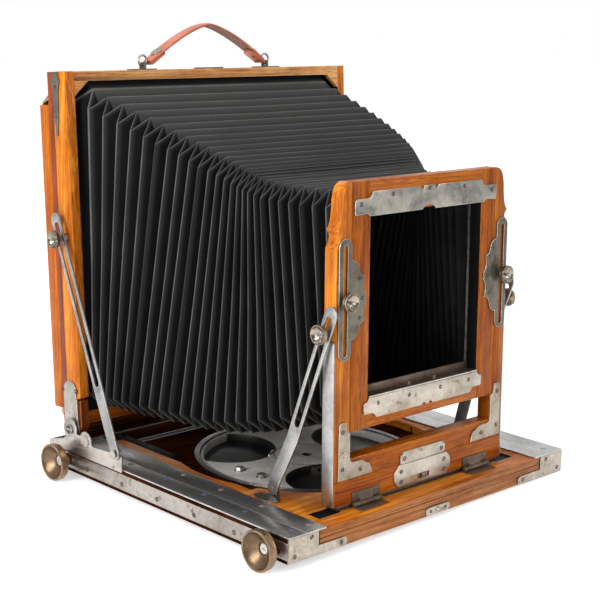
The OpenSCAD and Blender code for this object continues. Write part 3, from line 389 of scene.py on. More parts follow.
# %% The woods of this camera
STRIP_DEPTH = 21.5   # the rear stiles are two boards glued together, this far behind their face
leaned = tuple((rear_at(0, 1, 0) - rear_at(0, 0, 0)).normalized())
glued = (leaned, rear_at(0, STRIP_DEPTH, 0).dot(Vector(leaned)))
orange = woods("amber_mahogany_", ORANGE, varnished("rubbed_amber_edge", "Z", *ORANGE, shift=9), shift=2)
stile = woods("two_part_stile_", ORANGE, varnished("rubbed_stile_edge", "Z", *ORANGE, shift=11, strip=glued),
              shift=3, strip=glued)
wood = woods("mahogany_", MAHOGANY, varnished("rubbed_mahogany_edge", "Z", *ORANGE, shift=10), shift=1)
# The rear top rail's wood, painted lighter as painted light.
pale = woods("painted_light_rail_wood_", PALE, varnished("painted_light_rail_edge", "X", *PALE, shift=15, coat=0.05),
             shift=5, coat=0.05)
redwood = woods("red_back_wood_", REDWOOD, varnished("rubbed_red_edge", "Z", *MAHOGANY, coat=0.06, shift=12),
                coat=0.1, shift=4)
brown = woods("shaded_brown_wood_", BROWN, varnished("shaded_dark_edge", "X", *DARK, coat=0.06, shift=13),
              coat=0.06, shift=6, gloss=0.38)
dark_wood = woods("shaded_bed_wood_", DARK,
                  varnished("shaded_bed_edge", "Y", *REDWOOD, coat=0.0, shift=14, level=0.0),
                  coat=0.0, shift=8, gloss=0.62, level=0.0)
print(sum(len(m.node_tree.nodes) for m in wood.values()), "nodes in the four mahogany finishes")

# %% [markdown]
# ### Metals
# Plated steel that has been handled for a century is never one grey. Three things tell
# its age: cloudy tarnish, fine scratches, and spots of rust.


# %% Metal
def aged(name, clean_metal, tarnish, rough=(0.28, 0.5), cloud=28, amount=0.6, metallic=1.0, spots=None,
         along=None, level=0.5):
    """Old metal: clouds of tarnish over the clean metal, perhaps rust spots, and scratches along an axis."""
    material, tree, shader = finish_start(name, {"Metallic": metallic, "Specular IOR Level": level})
    clouds = noise(tree, place(tree), cloud, 6, 0.62, 0.7)
    share = ramp(tree, clouds, [(0.5 - 0.3 * amount, 1.0), (0.52 + 0.2 * (1 - amount), 0.0)])
    metal = mix(tree, "MIX", share, clean_metal, tarnish)
    fine = noise(tree, place(tree), 260, 3, 0.6)
    metal = mix(tree, "MULTIPLY", 0.35, metal, ramp(tree, fine, [(0.35, 0.55), (0.6, 1.0)]))
    if spots:
        dots = noise(tree, place(tree, shift=(3, 1, 2)), 120, 5, 0.65, 0.3)
        metal = mix(tree, "MIX", ramp(tree, dots, [(0.60, 0.0), (0.68, 0.85)]), metal, spots)
    tree.links.new(metal, shader.inputs["Base Color"])
    scratches = noise(tree, place(tree, SQUEEZE[along](0.02) if along else (1, 0.3, 1)), 900, 2, 0.5)
    worn = mix(tree, "MIX", 0.35, clouds, scratches)
    tree.links.new(ramp(tree, worn, [(0.35, rough[1]), (0.65, rough[0])]), shader.inputs["Roughness"])
    bump(tree, shader, scratches, 0.00004, 0.5)
    return material


print("one recipe for every metal")

# %% [markdown]
# Nickel plating yellows and spots, bronze browns, and steel goes grey, brown or black
# after how it was treated. Some near-black metal is painted shade, where parts lie in
# sockets or under the bellows. A metal is told apart by its two colours, how rough it is,
# how large its clouds are, and whether it has rust.

# %% Plated and polished metals
nickel = aged("worn_nickel", (0.48, 0.45, 0.41), (0.23, 0.20, 0.165), (0.28, 0.5), 20, 0.8,
              spots=(0.20, 0.12, 0.075))
side_nickel = aged("tarnished_side_nickel", (0.43, 0.40, 0.365), (0.20, 0.175, 0.145), (0.28, 0.5), 14, 0.8,
                   spots=(0.17, 0.11, 0.07))
cream = aged("yellowed_nickel", (0.54, 0.49, 0.42), (0.33, 0.28, 0.21), (0.3, 0.5), 26, 0.6, 0.95,
             (0.22, 0.14, 0.08))
dull = aged("dull_front_plate", (0.42, 0.365, 0.29), (0.215, 0.17, 0.12), (0.34, 0.52), 30, 0.75, 0.9,
            (0.15, 0.09, 0.05))
bright_edge = aged("rubbed_metal_edge", (0.66, 0.63, 0.58), (0.42, 0.38, 0.33), (0.22, 0.36))
alloy = aged("white_alloy", (0.47, 0.46, 0.45), (0.33, 0.32, 0.31), (0.30, 0.44), 30, 0.6, along="Z")
brass = aged("old_brass", (0.50, 0.35, 0.19), (0.27, 0.175, 0.09), (0.24, 0.44), 90, 0.6)
dark_brass = aged("shaded_brass", (0.075, 0.058, 0.04), (0.035, 0.028, 0.02), (0.4, 0.6), 90, 0.6, 0.8)
bronze = aged("brown_bronze", (0.20, 0.130, 0.078), (0.12, 0.076, 0.044), (0.30, 0.46), 60, 0.6, 0.9)
rim_bronze = aged("light_bronze_rim", (0.33, 0.205, 0.12), (0.20, 0.125, 0.072), (0.26, 0.42), 70, 0.5, 0.9)
cup_shell = aged("rosy_cup_shell", (0.34, 0.25, 0.185), (0.20, 0.14, 0.10), (0.26, 0.42), 70, 0.5, 0.95)
mirror_cup = aged("polished_cup", (0.40, 0.355, 0.29), (0.17, 0.14, 0.105), (0.10, 0.24), 60, 0.6)

print("twelve plated and polished metals")

# %% Steels, and near-black metals that are partly painted shade
strut_steel = aged("grey_strut_steel", (0.40, 0.40, 0.40), (0.22, 0.215, 0.21), (0.26, 0.44), 22, 0.7, 0.95,
                   along="Z")
blued = aged("blued_steel", (0.53, 0.525, 0.52), (0.30, 0.295, 0.29), (0.26, 0.46), 18, 0.7, 0.95, along="Y")
mottled = aged("mottled_steel", (0.34, 0.32, 0.275), (0.072, 0.078, 0.080), (0.34, 0.54), 34, 0.7, 0.85,
               (0.34, 0.27, 0.19))
wing_steel = aged("brown_wing_steel", (0.165, 0.148, 0.118), (0.065, 0.056, 0.043), (0.36, 0.55), 36, 0.7,
                  0.8, (0.17, 0.11, 0.06))
dark_sole = aged("dark_sole_steel", (0.10, 0.10, 0.10), (0.05, 0.048, 0.045), (0.34, 0.5), 30, 0.6, 0.9)
hinge_brown = aged("brown_hinge_steel", (0.15, 0.105, 0.075), (0.08, 0.052, 0.036), (0.36, 0.6), 60, 0.7, 0.7)
screw_steel = aged("dark_screw_steel", (0.085, 0.066, 0.075), (0.04, 0.032, 0.04), (0.3, 0.5), 200, 0.6, 0.7)
pink_screw = aged("rosy_screw_steel", (0.62, 0.40, 0.36), (0.44, 0.28, 0.27), (0.32, 0.5), 160, 0.5, 0.4)
violet_screw = aged("violet_screw_steel", (0.26, 0.24, 0.48), (0.13, 0.12, 0.27), (0.32, 0.5), 160, 0.5, 0.4)
# Paler than the steel itself, as painted light, so that the turntable spider reads bright in the shade of the
# bellows.
floor_steel = aged("grey_turntable_steel", (0.72, 0.70, 0.66), (0.50, 0.48, 0.45), (0.4, 0.6), 26, 0.7, 0.3)
# Near black, partly dark metal and partly painted shade: the turntable's floor under the bellows, and the
# socket walls round its middle.
dark_iron_and_shade = aged("dark_iron_and_painted_shade", (0.028, 0.027, 0.026), (0.014, 0.013, 0.012), (0.3, 0.5), 40, 0.6, 0.4)
# Black as painted shade: the rear racks and the top of the carriage's cross plate lie in the bellows' shade.
shade_black = aged("painted_shade_black_plate", (0.030, 0.026, 0.024), (0.012, 0.010, 0.009), (0.5, 0.7), 40, 0.6, 0.0,
               level=0.08)
lining = aged("rubbed_black_lining", (0.22, 0.205, 0.175), (0.018, 0.017, 0.016), (0.5, 0.7), 130, 0.7, 0.0,
              (0.26, 0.18, 0.10))
print("thirteen steels, irons and linings")

# %% [markdown]
# ### Cloth
# Bellows cloth is a black book cloth. Its faces are almost black, with a faint weave, and
# the folds are rubbed grey. A UV map made with the bellows says where the folds are, so
# the rubbing follows them wherever they run. The cloth also greys towards each crest, partly
# rubbed and partly a painted highlight where the rounded fold catches the light, and the
# top is painted lighter, as painted light from above. Inside, the cloth is dull and dusty.


# %% Cloth
def book_cloth(name, faded, dusty, level=0.2, rub_and_painted_light=None):
    """Black cloth; given a fold grey, it greys towards the crests, as rubbing and painted highlight, and gets
    painted light on the top faces of the UV map.
    """
    material, tree, shader = finish_start(name, {"Roughness": 0.58, "Specular IOR Level": level})
    cloud = noise(tree, place(tree), 24, 4, 0.6)
    tint = mix(tree, "MIX", ramp(tree, cloud, [(0.35, 0.0), (0.7, 1.0)]), faded, dusty)
    if rub_and_painted_light:
        fold = put(tree, "SeparateXYZ", {"Vector": put(tree, "UVMap", uv_map="fold").outputs[0]}).outputs
        # Greyer towards each crest: partly rubbing, partly a painted highlight on the rounded fold.
        tint = mix(tree, "MIX", ramp(tree, fold["X"], [(0.6, 0.0), (1.0, 1.0)]), tint, rub_and_painted_light)
        # The top faces are painted lighter, as painted light from above.
        painted_top_light = tuple(1.15 * c for c in rub_and_painted_light)
        tint = mix(tree, "ADD", ramp(tree, fold["Y"], [(0.4, 0.0), (0.6, 1.0)]), tint, painted_top_light)
    threads = put(tree, "TexVoronoi", {"Vector": place(tree), "Scale": 1400}).outputs["Distance"]
    tint = mix(tree, "MULTIPLY", 0.5, tint, ramp(tree, threads, [(0.1, 0.55), (0.6, 1.0)]))
    tree.links.new(tint, shader.inputs["Base Color"])
    bump(tree, shader, threads, 0.0001, 0.5)
    return material


cloth = book_cloth("black_bellows_cloth", (0.003, 0.003, 0.0035), (0.006, 0.006, 0.006), 0.07,
                   rub_and_painted_light=(0.034, 0.034, 0.033))
rubbed_cloth = book_cloth("rubbed_bellows_fold", (0.065, 0.065, 0.063), (0.12, 0.12, 0.115), 0.3)
inner_fold = book_cloth("inner_bellows_cloth", (0.020, 0.020, 0.020), (0.034, 0.034, 0.034), 0.12)
inner_crease = book_cloth("inner_bellows_crease", (0.14, 0.14, 0.14), (0.22, 0.22, 0.22), 0.2)
# Black cloth for the bellows' frames; the same cloth is put on the walls of slots and of the lens opening as
# painted shade.
black_cloth_and_shade = book_cloth("black_frame_cloth_and_painted_shade", (0.004, 0.004, 0.004), (0.008, 0.008, 0.008), 0.1)
print("five cloths")

# %% [markdown]
# ### Leather and glass
# Strap leather has a pebbled grain on its outer side and darkens where hands hold it. Its
# inner side is rough and pale, as the flesh side of a hide is. The focusing glass is
# ground on one side, so it is rough and milky and lets only some light through.

# %% Leather
leather, tree, shader = finish_start("tan_strap_leather", {
    "Roughness": 0.42, "Coat Weight": 0.25, "Coat Roughness": 0.3})
pebbles = put(tree, "TexVoronoi", {"Vector": place(tree), "Scale": 900}).outputs["Distance"]
handled = noise(tree, place(tree), 34, 4, 0.6, 0.5)
tan = ramp(tree, handled,
           [(0.3, (0.26, 0.045, 0.014)), (0.5, (0.47, 0.092, 0.032)), (0.7, (0.62, 0.17, 0.075))])
tan = mix(tree, "MULTIPLY", 0.35, tan, ramp(tree, pebbles, [(0.05, 0.55), (0.5, 1.0)]))
tree.links.new(tan, shader.inputs["Base Color"])
bump(tree, shader, pebbles, 0.0003, 0.7)

suede, tree, shader = finish_start("strap_flesh_side")
fibres = noise(tree, place(tree, (1, 0.3, 1)), 420, 4, 0.65)
flesh = ramp(tree, fibres, [(0.3, (0.16, 0.075, 0.055)), (0.7, (0.42, 0.25, 0.20))])
tree.links.new(flesh, shader.inputs["Base Color"])
tree.links.new(ramp(tree, fibres, [(0.3, 0.65), (0.7, 0.85)]), shader.inputs["Roughness"])
bump(tree, shader, fibres, 0.0004, 0.6)

# %% Ground glass
glass, tree, shader = finish_start("ground_glass", {"Transmission Weight": 0.35})
grit = noise(tree, place(tree), 1800, 2, 0.6)
milk = ramp(tree, grit, [(0.3, (0.62, 0.66, 0.65)), (0.7, (0.78, 0.81, 0.80))])
tree.links.new(milk, shader.inputs["Base Color"])
tree.links.new(ramp(tree, grit, [(0.3, 0.5), (0.7, 0.7)]), shader.inputs["Roughness"])
bump(tree, shader, grit, 0.0001, 0.6)
print("leather and glass ready")

# %% [markdown]
# ## Turning a solid into a made piece
# Real edges are never perfectly sharp: planed wood is eased and plates are filed. The
# helper below copies a CAD solid, welds its loose triangles into clean faces, and cuts it
# with planes into single boards. A bevel then rounds every corner, and the strip of new
# faces gets the finish of a rubbed edge. Cutting before bevelling leaves a fine joint
# line between two boards, as between a real stile and rail.


# %% Planes to cut along, named after the side that is kept
def right_of(x):
    return (point(x, 0, 0), (1, 0, 0))


def left_of(x):
    return (point(x, 0, 0), (-1, 0, 0))


def behind(y):
    return (point(0, y, 0), (0, 1, 0))


def before(y):
    return (point(0, y, 0), (0, -1, 0))


def above(z):
    return (point(0, 0, z), (0, 0, 1))


def below(z):
    return (point(0, 0, z), (0, 0, -1))


# %% Easing, carving and settling a piece
def ease(piece, width):
    """Rounds every hard edge with faces of the second finish, and shades the piece smoothly."""
    pick(piece)
    if width:
        modify(piece, "BEVEL", width=width * mm, segments=2, material=1, limit_method="ANGLE",
               angle_limit=math.radians(32))
    bpy.ops.object.shade_smooth_by_angle(angle=math.radians(38))
    return piece


def settle(piece, body, *nodes, slot=None):
    """Parents the piece to the empty of the body it rides on, and hides the CAD solids it stands for."""
    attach(piece, body)
    if nodes:
        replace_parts(piece, *nodes)
    return piece


def carve(node, name, finish, edge, width, keep=()):
    """Copies a node's solid, keeps what lies past every plane in keep, and eases its edges."""
    piece = pick(add(name, NODES[node].data.copy()))
    bpy.ops.mesh.customdata_custom_splitnormals_clear()
    piece.data.materials.clear()
    paint(piece, finish, edge)
    edit_all()
    bpy.ops.mesh.remove_doubles(threshold=0.00001)
    for where, normal in keep:
        select()
        bpy.ops.mesh.bisect(plane_co=where, plane_no=normal, use_fill=True, clear_inner=True)
    select()
    bpy.ops.mesh.dissolve_limited(angle_limit=math.radians(1.2))
    mode("OBJECT")
    for face in piece.data.polygons:
        face.material_index = 0
    ease(piece, width)
    for other, chosen in OTHER_FACES.get(name, OTHER_FACES.get(node, ())):
        paint(piece, other)
        for face in piece.data.polygons:
            if chosen(face.center, face.normal):
                face.material_index = len(piece.data.materials) - 1
    return settle(piece, BODY_OF[node], node)


# %% [markdown]
# Some faces don't match the rest of their piece: the shaded outside of the bed rails, the
# front face of the front board, browner as painted shade, and the walls of slots, openings
# and sockets and the top of a cross plate, made black as painted shade. The back of the
# lower panel plate is brown steel. A small function finds them by their centre, in metres,
# and by the way they look.

# %% Faces with a finish of their own
def rail_outside(c, n):
    return abs(c.x) > 0.175 or c.x * n.x > 0.1 or n.z < -0.5


def slot_wall(c, n):
    """Inside the two slots that are cut down into the front board, beside the standard; made black there as
    painted shade.
    """
    return 0.1049 < abs(c.x) < 0.1311 and -0.153 < c.y < -0.120 and c.z < 0.0223 and n.z > -0.5


# The walls of the lens opening, given the black cloth as painted shade.
def opening_wall(c, n):
    return abs(c.x) < 0.0736 and 0.115 < c.z < 0.274 and abs(n.y) < 0.5


OTHER_FACES = {
    "bed_rail_left": [(dark_wood["Y"], rail_outside)],
    "bed_rail_right": [(dark_wood["Y"], rail_outside)],
    # The front face of the front board is browner as painted shade, and the walls of its slots are black as
    # painted shade.
    "extension_front": [(brown["X"], lambda c, n: n.y < -0.7), (black_cloth_and_shade, slot_wall)],
    # The walls of the lens opening are black as painted shade.
    "lens_panel": [(black_cloth_and_shade, opening_wall)],
    # The upright walls round the middle of the spider are near black as painted shade in its sockets.
    "turntable_spider": [(dark_iron_and_shade, lambda c, n: abs(n.z) < 0.5 and math.hypot(c.x, c.y) < 0.1)],
    "panel_bottom_plate": [(hinge_brown, lambda c, n: c.y > front_at(0, -1, 90).y and c.z > 0.115)],
    # The top of the cross plate is black as painted shade.
    "carriage_brackets": [(shade_black, lambda c, n: n.z > 0.5 and abs(c.x) < 0.16)],
    "bellows_front_frame": [(lining, lambda c, n: n.x < -0.5 and 0.06 < c.x < 0.09)],
}
print(len(OTHER_FACES), "pieces with faces of another finish")


# %% [markdown]
# ## The wooden frames
# Each frame is two upright stiles and two rails between them. Every board is cut out of
# its frame's solid, so its grain can run along its own length. The planes between boards
# are named after the frame, and HALFWAY parts an upper rail from a lower one.

# %% Where one board ends and the next begins
STILE = 9.5
in_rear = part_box("rear_frame")[1][0] / mm - STILE
POST_IN, PANEL_IN, BACK_IN, SCREEN_IN, BED_IN = 94.9, 74.5, 163, 148, 149.5
HALFWAY = 200
LIP = 14.2   # the groove along the front board


def plain_frame(node, name, kind, inner):
    """Two stiles that run the whole height, and two rails between them."""
    between = [right_of(-inner), left_of(inner)]
    return [(node, name + "stile_left", "Z", kind, [left_of(-inner)]),
            (node, name + "stile_right", "Z", kind, [right_of(inner)]),
            (node, name + "top_rail", "X", kind, between + [above(HALFWAY)]),
            (node, name + "bottom_rail", "X", kind, between + [below(HALFWAY)])]


print("rear stiles start", round(in_rear, 1), "mm from the middle")

# %% The table of boards: solid, name, grain, wood, and the planes that part it
boards = [
    ("rear_frame", "rear_stile_left", "Z", stile, [left_of(-in_rear)]),
    ("rear_frame", "rear_stile_right", "Z", stile, [right_of(in_rear)]),
    # The top rail is painted lighter than its wood, as painted light.
    ("rear_frame", "rear_top_rail", "X", pale, [right_of(-in_rear), left_of(in_rear), above(HALFWAY)]),
    ("rear_frame", "rear_bottom_rail", "X", wood, [right_of(-in_rear), left_of(in_rear), below(HALFWAY)]),
    # The left post faces the lamps and gets the lighter amber, the right post the mahogany: painted light.
    ("lens_frame", "front_post_left", "Z", orange, [left_of(-POST_IN)]),
    ("lens_frame", "front_post_right", "Z", wood, [right_of(POST_IN)]),
    ("lens_frame", "front_low_rail", "X", wood, [right_of(-POST_IN), left_of(POST_IN)]),
    ("standard_block", "front_block", "X", wood, []),
    *plain_frame("lens_panel", "panel_", wood, PANEL_IN),
    *plain_frame("back_frame", "back_", wood, BACK_IN),
    *plain_frame("focusing_frame", "screen_", redwood, SCREEN_IN),
    ("foot_blocks", "foot_blocks_turned", "Z", redwood, []),
    ("front_board", "extension_front", "X", orange, [above(LIP)]),
    # The recessed lip is browner as painted shade, and so is the bed's front rail below.
    ("front_board", "extension_lip", "X", brown, [below(LIP)]),
    ("extension_sides", "extension_boards", "Y", orange, []),
    ("bed_frame", "bed_rail_left", "Y", orange, [left_of(-BED_IN)]),
    ("bed_frame", "bed_rail_right", "Y", orange, [right_of(BED_IN)]),
    ("bed_frame", "bed_front_rail", "X", brown, [right_of(-BED_IN), left_of(BED_IN), before(0)]),
    ("bed_frame", "bed_rear_rail", "X", dark_wood, [right_of(-BED_IN), left_of(BED_IN), behind(0)]),
    ("bed_board", "bed_panel", "X", dark_wood, []),
    ("carriage_board", "carriage_cross_board", "X", dark_wood, []),
]

# %% Sawing the boards
for node, name, axis, kind, keep in boards:
    rubbed = (dark_wood if name.startswith("bed_rail") else kind)["edge"]
    carve(node, name, kind[axis], rubbed, 0.4, keep)
print(len(boards), "boards")

# %% [markdown]
# ## The metal fittings
# The plates, brackets, struts and hinges have the right outline already. Each needs only
# the soft edge that a file leaves and the right metal, so its solid is carved whole.

# %% The table of fittings: finish, finish of the edges, and how wide those are
fittings = {
    "deck_strips": (blued, bright_edge, 0.25), "side_plates": (side_nickel, bright_edge, 0.25),
    "corner_brackets": (cream, bright_edge, 0.25), "turntable_ring": (strut_steel, bright_edge, 0.15),
    "turntable_retainer": (dark_brass, dark_brass, 0), "turntable_spider": (floor_steel, strut_steel, 0.4),
    # The turntable's floor is near black, partly painted shade under the bellows.
    "turntable_floor": (dark_iron_and_shade, dark_iron_and_shade, 0), "turntable_bolts": (nickel, bright_edge, 0.3),
    "front_racks": (dark_brass, dark_brass, 0), "butt_hinges": (hinge_brown, wing_steel, 0.2),
    "strut_feet": (strut_steel, nickel, 0.25), "front_shaft": (strut_steel, strut_steel, 0),
    "rear_shaft": (strut_steel, strut_steel, 0), "carriage_brackets": (nickel, bright_edge, 0.3),
    # The rear racks are black as painted shade, so that they sink into the shaded bed.
    "rear_racks": (shade_black, shade_black, 0), "standard_sole": (dark_sole, dark_sole, 0.2),
    "hinge_flaps": (hinge_brown, wing_steel, 0.2), "corner_plates": (dull, bright_edge, 0.25),
    "lock_plates": (cream, bright_edge, 0.25), "lock_catch": (mottled, nickel, 0.3),
    "side_bars": (alloy, alloy, 0.3), "panel_top_plate": (mottled, bright_edge, 0.25),
    "panel_bottom_plate": (cream, bright_edge, 0.25), "rise_plates": (wing_steel, bright_edge, 0.25),
    **{end + "_strut_" + s: (strut_steel, bright_edge, 0.3) for end in ("front", "rear") for s, _ in SIDES},
    "side_hinge_plates": (nickel, bright_edge, 0.3), "top_fittings": (wing_steel, wing_steel, 0.25),
    "back_catches": (brass, bright_edge, 0.3), "screen_hinges": (brass, brass, 0.2),
    "screen_leaves": (brass, brass, 0.2), "handle_rings": (nickel, nickel, 0),
    "bellows_front_frame": (black_cloth_and_shade, black_cloth_and_shade, 0.5),
    "bellows_rear_frame": (black_cloth_and_shade, black_cloth_and_shade, 0.5), "ground_glass": (glass, glass, 0.3),
}

# %% Plates, brackets and struts
for node, (finish, edge, width) in fittings.items():
    carve(node, "made_" + node, finish, edge, width)
print(len(fittings), "fittings")

# %% [markdown]
# ## The bellows
# Bellows are folded from one tube of cloth. Where two sides meet, the folds of one side
# fall half a pleat behind those of the other, and the corner closes in a zigzag. So each
# ring has eight corners: on even folds the sides stand out, on odd folds the top and
# bottom do. The surface is made ring by ring, because no primitive comes near it. A UV map
# says how near the cloth is to an outward fold and whether it looks upwards, so that the
# material can grey it there: towards the crests as rubbing and painted highlight, and on
# the top as painted light. The folds are then bevelled and given the rubbed cloth.

# %% Rings of folds
PLEATS, DEPTH, CORNER = 26, 12.0, 15.0


def upper_place(u):
    """How far back fold u lies along the top, from 0 at the lens panel to 1 at the back."""
    v = u - 0.38
    return 0.332 + 0.218 * v + (1.385 if v > 0 else -1.725) * v * v


def lower_place(u):
    """The same along the bottom, where the cloth is pulled back."""
    return u + 1.1 * u * (1 - u) * (u - 0.385)


def ring(k, wander):
    """The corners of fold k, with a middle point on each side that may sag a little."""
    u = k / (2 * PLEATS)
    fold = DEPTH * min(1, min(k, 2 * PLEATS - k) / 2)
    even = k % 2 == 0
    (x_side, x_top), (z_side, z_top) = (((0, CORNER - 1), (CORNER, fold)) if even
                                        else ((fold, CORNER), (CORNER - 1, 0)))
    w = 91.6 + 76.8 * u
    low = 56.4 + 44.3 * max(0, 1 - 2 * u) ** 1.5 + 6.3 * max(0, (u - 0.7) / 0.3) ** 2
    high = 292.9 + 73.1 * (max(0, u - 0.15) / 0.85) ** 1.7
    marks = [(w - x_top, low + z_top), (w - x_side, low + z_side), (w - x_side, high - z_side),
             (w - x_top, high - z_top), (-w + x_top, high - z_top), (-w + x_side, high - z_side),
             (-w + x_side, low + z_side), (-w + x_top, low + z_top)]
    sag = (0.9 if even else 0.5) + 0.8 * wander
    middle = lambda p, q, dx, dz: ((p[0] + q[0]) / 2 + dx, (p[1] + q[1]) / 2 + dz)
    loop = [marks[0], marks[1], middle(marks[1], marks[2], -sag, 0), marks[2], marks[3],
            middle(marks[3], marks[4], 0, -sag), marks[4], marks[5],
            middle(marks[5], marks[6], sag, 0), marks[6], marks[7],
            middle(marks[7], marks[0], 0, sag)]
    points = []
    for x, z in loop:
        h = (z - low) / (high - low)
        front = -130.4 + math.tan(math.radians(1.5)) * (z - 25.4)
        rear = 130.1 + math.tan(math.radians(4)) * (z - 37)
        share = lower_place(u) * (1 - h) + upper_place(u) * h
        points.append(point(x, front + (rear - front) * 0.998 * share, z))
    return points


print("52 half pleats,", DEPTH, "mm deep")

# %% [markdown]
# Between two rings the straight sides are single faces. At each corner the cloth has to
# change from standing out to falling in, so a diagonal crease parts it in two triangles.

# %% The surface between two folds
CORNERS = {0: False, 3: True, 6: False, 9: True}   # sides of the ring that are corners: side to top?


def pleated(name, first, last):
    """The mesh from fold first to fold last, with its fold map, and the edges that are creases."""
    random.seed(7)
    wander = [random.uniform(-1, 1) for _ in range(2 * PLEATS + 1)]
    m = 12   # points round a ring
    points = [p for k in range(first, last + 1) for p in ring(k, wander[k])]
    faces, creases = [], set()
    for k in range(first, last):
        for j in range(m):
            a, b = (k - first) * m + j, (k - first) * m + (j + 1) % m
            if j in CORNERS:
                falling = (k % 2 == 0) == CORNERS[j]
                faces += [[a, b, b + m], [a, b + m, a + m]] if falling else [[a, b, a + m], [b, b + m, a + m]]
                creases.add(frozenset((a, b + m) if falling else (b, a + m)))
            else:
                faces.append([a, b, b + m, a + m])
    for k in range(first, last + 1):
        for j in (1, 2, 7, 8) if k % 2 == 0 else (4, 5, 10, 11):
            creases.add(frozenset(((k - first) * m + j, (k - first) * m + (j + 1) % m)))
    mesh = bpy.data.meshes.new(name)
    mesh.from_pydata(points, [], faces)
    fold_map = mesh.uv_layers.new(name="fold")
    for face in mesh.polygons:
        js = {mesh.loops[i].vertex_index % m for i in face.loop_indices}
        # The second number marks the top faces, which the cloth paints lighter as painted light.
        top = js <= {4, 5, 6}
        for i in face.loop_indices:
            k, j = divmod(mesh.loops[i].vertex_index, m)
            crest = ((k + first) % 2 == 0) == (j in (1, 2, 3, 7, 8, 9))
            fold_map.data[i].uv = (1.0 if crest else 0.0, 1.0 if top else 0.0)
    return mesh, creases


# %% A length of cloth
def bellows_length(name, first, last):
    """A length of bellows as cloth: the creases rounded, and the surface given a thickness."""
    mesh, creases = pleated(name, first, last)
    piece = pick(add(name, mesh))
    paint(piece, cloth, rubbed_cloth, inner_fold, inner_crease)
    weight = mesh.attributes.new("bevel_weight_edge", "FLOAT", "EDGE")
    for edge in mesh.edges:
        weight.data[edge.index].value = 1.0 if frozenset(edge.vertices) in creases else 0.0
    edit_all()
    bpy.ops.mesh.normals_make_consistent(inside=False)
    mode("OBJECT")
    modify(piece, "BEVEL", limit_method="WEIGHT", width=1.1 * mm, segments=2, material=1)
    modify(piece, "SOLIDIFY", thickness=0.7 * mm, offset=-1, material_offset=2)
    bpy.ops.object.shade_smooth_by_angle(angle=math.radians(30))
    return piece


# %% [markdown]
# A piece can bend over only one. The bellows cross five joints, so they are made in five
# lengths that meet at folds, one over each joint. Folds lean, so for each length the slant
# that leaves the most room between its first and last folds is searched for, and that room
# is printed.

# %% Five lengths, one over each joint
LENGTHS = [("bellows_at_back", 40, 52, "rear_standard", "carriage"),
           ("bellows_over_carriage", 32, 40, "carriage", "bed"),
           ("bellows_over_bed", 14, 32, "bed", "extension"),
           ("bellows_over_extension", 6, 14, "extension", "front_standard"),
           ("bellows_at_panel", 0, 6, "front_standard", "rising_panel")]
CLEAR = 0.3 * mm


def bend_span(first, last):
    """At the slant where folds first and last are furthest apart: the room, and the bend's two ends."""
    best = (-1, None, None)
    for half_degrees in range(-60, 61):
        slant = math.radians(half_degrees / 2)
        along = Vector((0, math.cos(slant), math.sin(slant)))
        start = min(p.dot(along) for w in (-1, 0, 1) for p in ring(last, w)) - CLEAR
        end = max(p.dot(along) for w in (-1, 0, 1) for p in ring(first, w)) + CLEAR
        if start - end > best[0]:
            up = Vector((0, -along.z, along.y)) * 0.18
            best = (start - end, up + along * start, up + along * end)
    return best


for name, first, last, rear_body, front_body in LENGTHS:
    piece = bellows_length(name, first, last)
    room, start, end = bend_span(first, last)
    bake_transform(piece)
    print("bends over", round(room * 1000, 1), "mm")
    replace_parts(piece, "bellows")
    print(name, len(piece.data.polygons), "faces")

# %% [markdown]
# ## Turned knobs
# Knobs are turned on a lathe, and the spin tool is Blender's lathe: a profile of points is
# swept round an axis. The racking knobs are deep cups with a band round the rim, and a
# screw in the middle that holds them on the shaft. The six clamp knobs are small cups of
# the same profile, polished inside by use.


# %% The lathe
def turned(name, profile, finish, steps=48):
    """Spins (radius, height) points in mm round +Z at the origin."""
    mesh = bpy.data.meshes.new(name)
    mesh.from_pydata([point(r, 0, h) for r, h in profile], [(i, i + 1) for i in range(len(profile) - 1)], [])
    piece = pick(add(name, mesh))
    paint(piece, finish)
    edit_all()
    bpy.ops.mesh.spin(steps=steps, angle=math.tau, center=(0, 0, 0), axis=(0, 0, 1))
    select()
    bpy.ops.mesh.remove_doubles(threshold=0.00001)
    select()
    bpy.ops.mesh.normals_make_consistent(inside=False)
    mode("OBJECT")
    bpy.ops.object.shade_smooth_by_angle(angle=math.radians(35))
    return piece


def aimed(spot, direction):
    """The matrix that stands a piece made along +Z at a spot, looking in a direction."""
    look = Vector(direction).normalized()
    helper = Vector((0, 0, 1)) if abs(look.z) < 0.9 else Vector((0, 1, 0))
    x = helper.cross(look).normalized()
    return Matrix.Translation(spot) @ Matrix((x, look.cross(x), look)).transposed().to_4x4()


# %% The profile of a cup
def cup_profile(r, tall):
    """The outline of a cup of a radius and a height, from the shaft up the outside and down the bowl."""
    shape = [(0.09, 0.0), (0.34, 0.0), (0.34, 0.1), (0.40, 0.13), (0.40, 0.2), (0.36, 0.24), (0.6, 0.34),
             (0.88, 0.5), (0.93, 0.52), (0.95, 0.56), (0.94, 0.6), (0.985, 0.63), (0.985, 0.90), (1.0, 0.93),
             (1.0, 0.97), (0.98, 1.0), (0.92, 1.0), (0.89, 0.99), (0.87, 0.95), (0.84, 0.90), (0.74, 0.79),
             (0.60, 0.68), (0.46, 0.58), (0.36, 0.51), (0.32, 0.51), (0.30, 0.46), (0.09, 0.46), (0.09, 0.0)]
    return [(r * a, tall * b) for a, b in shape]


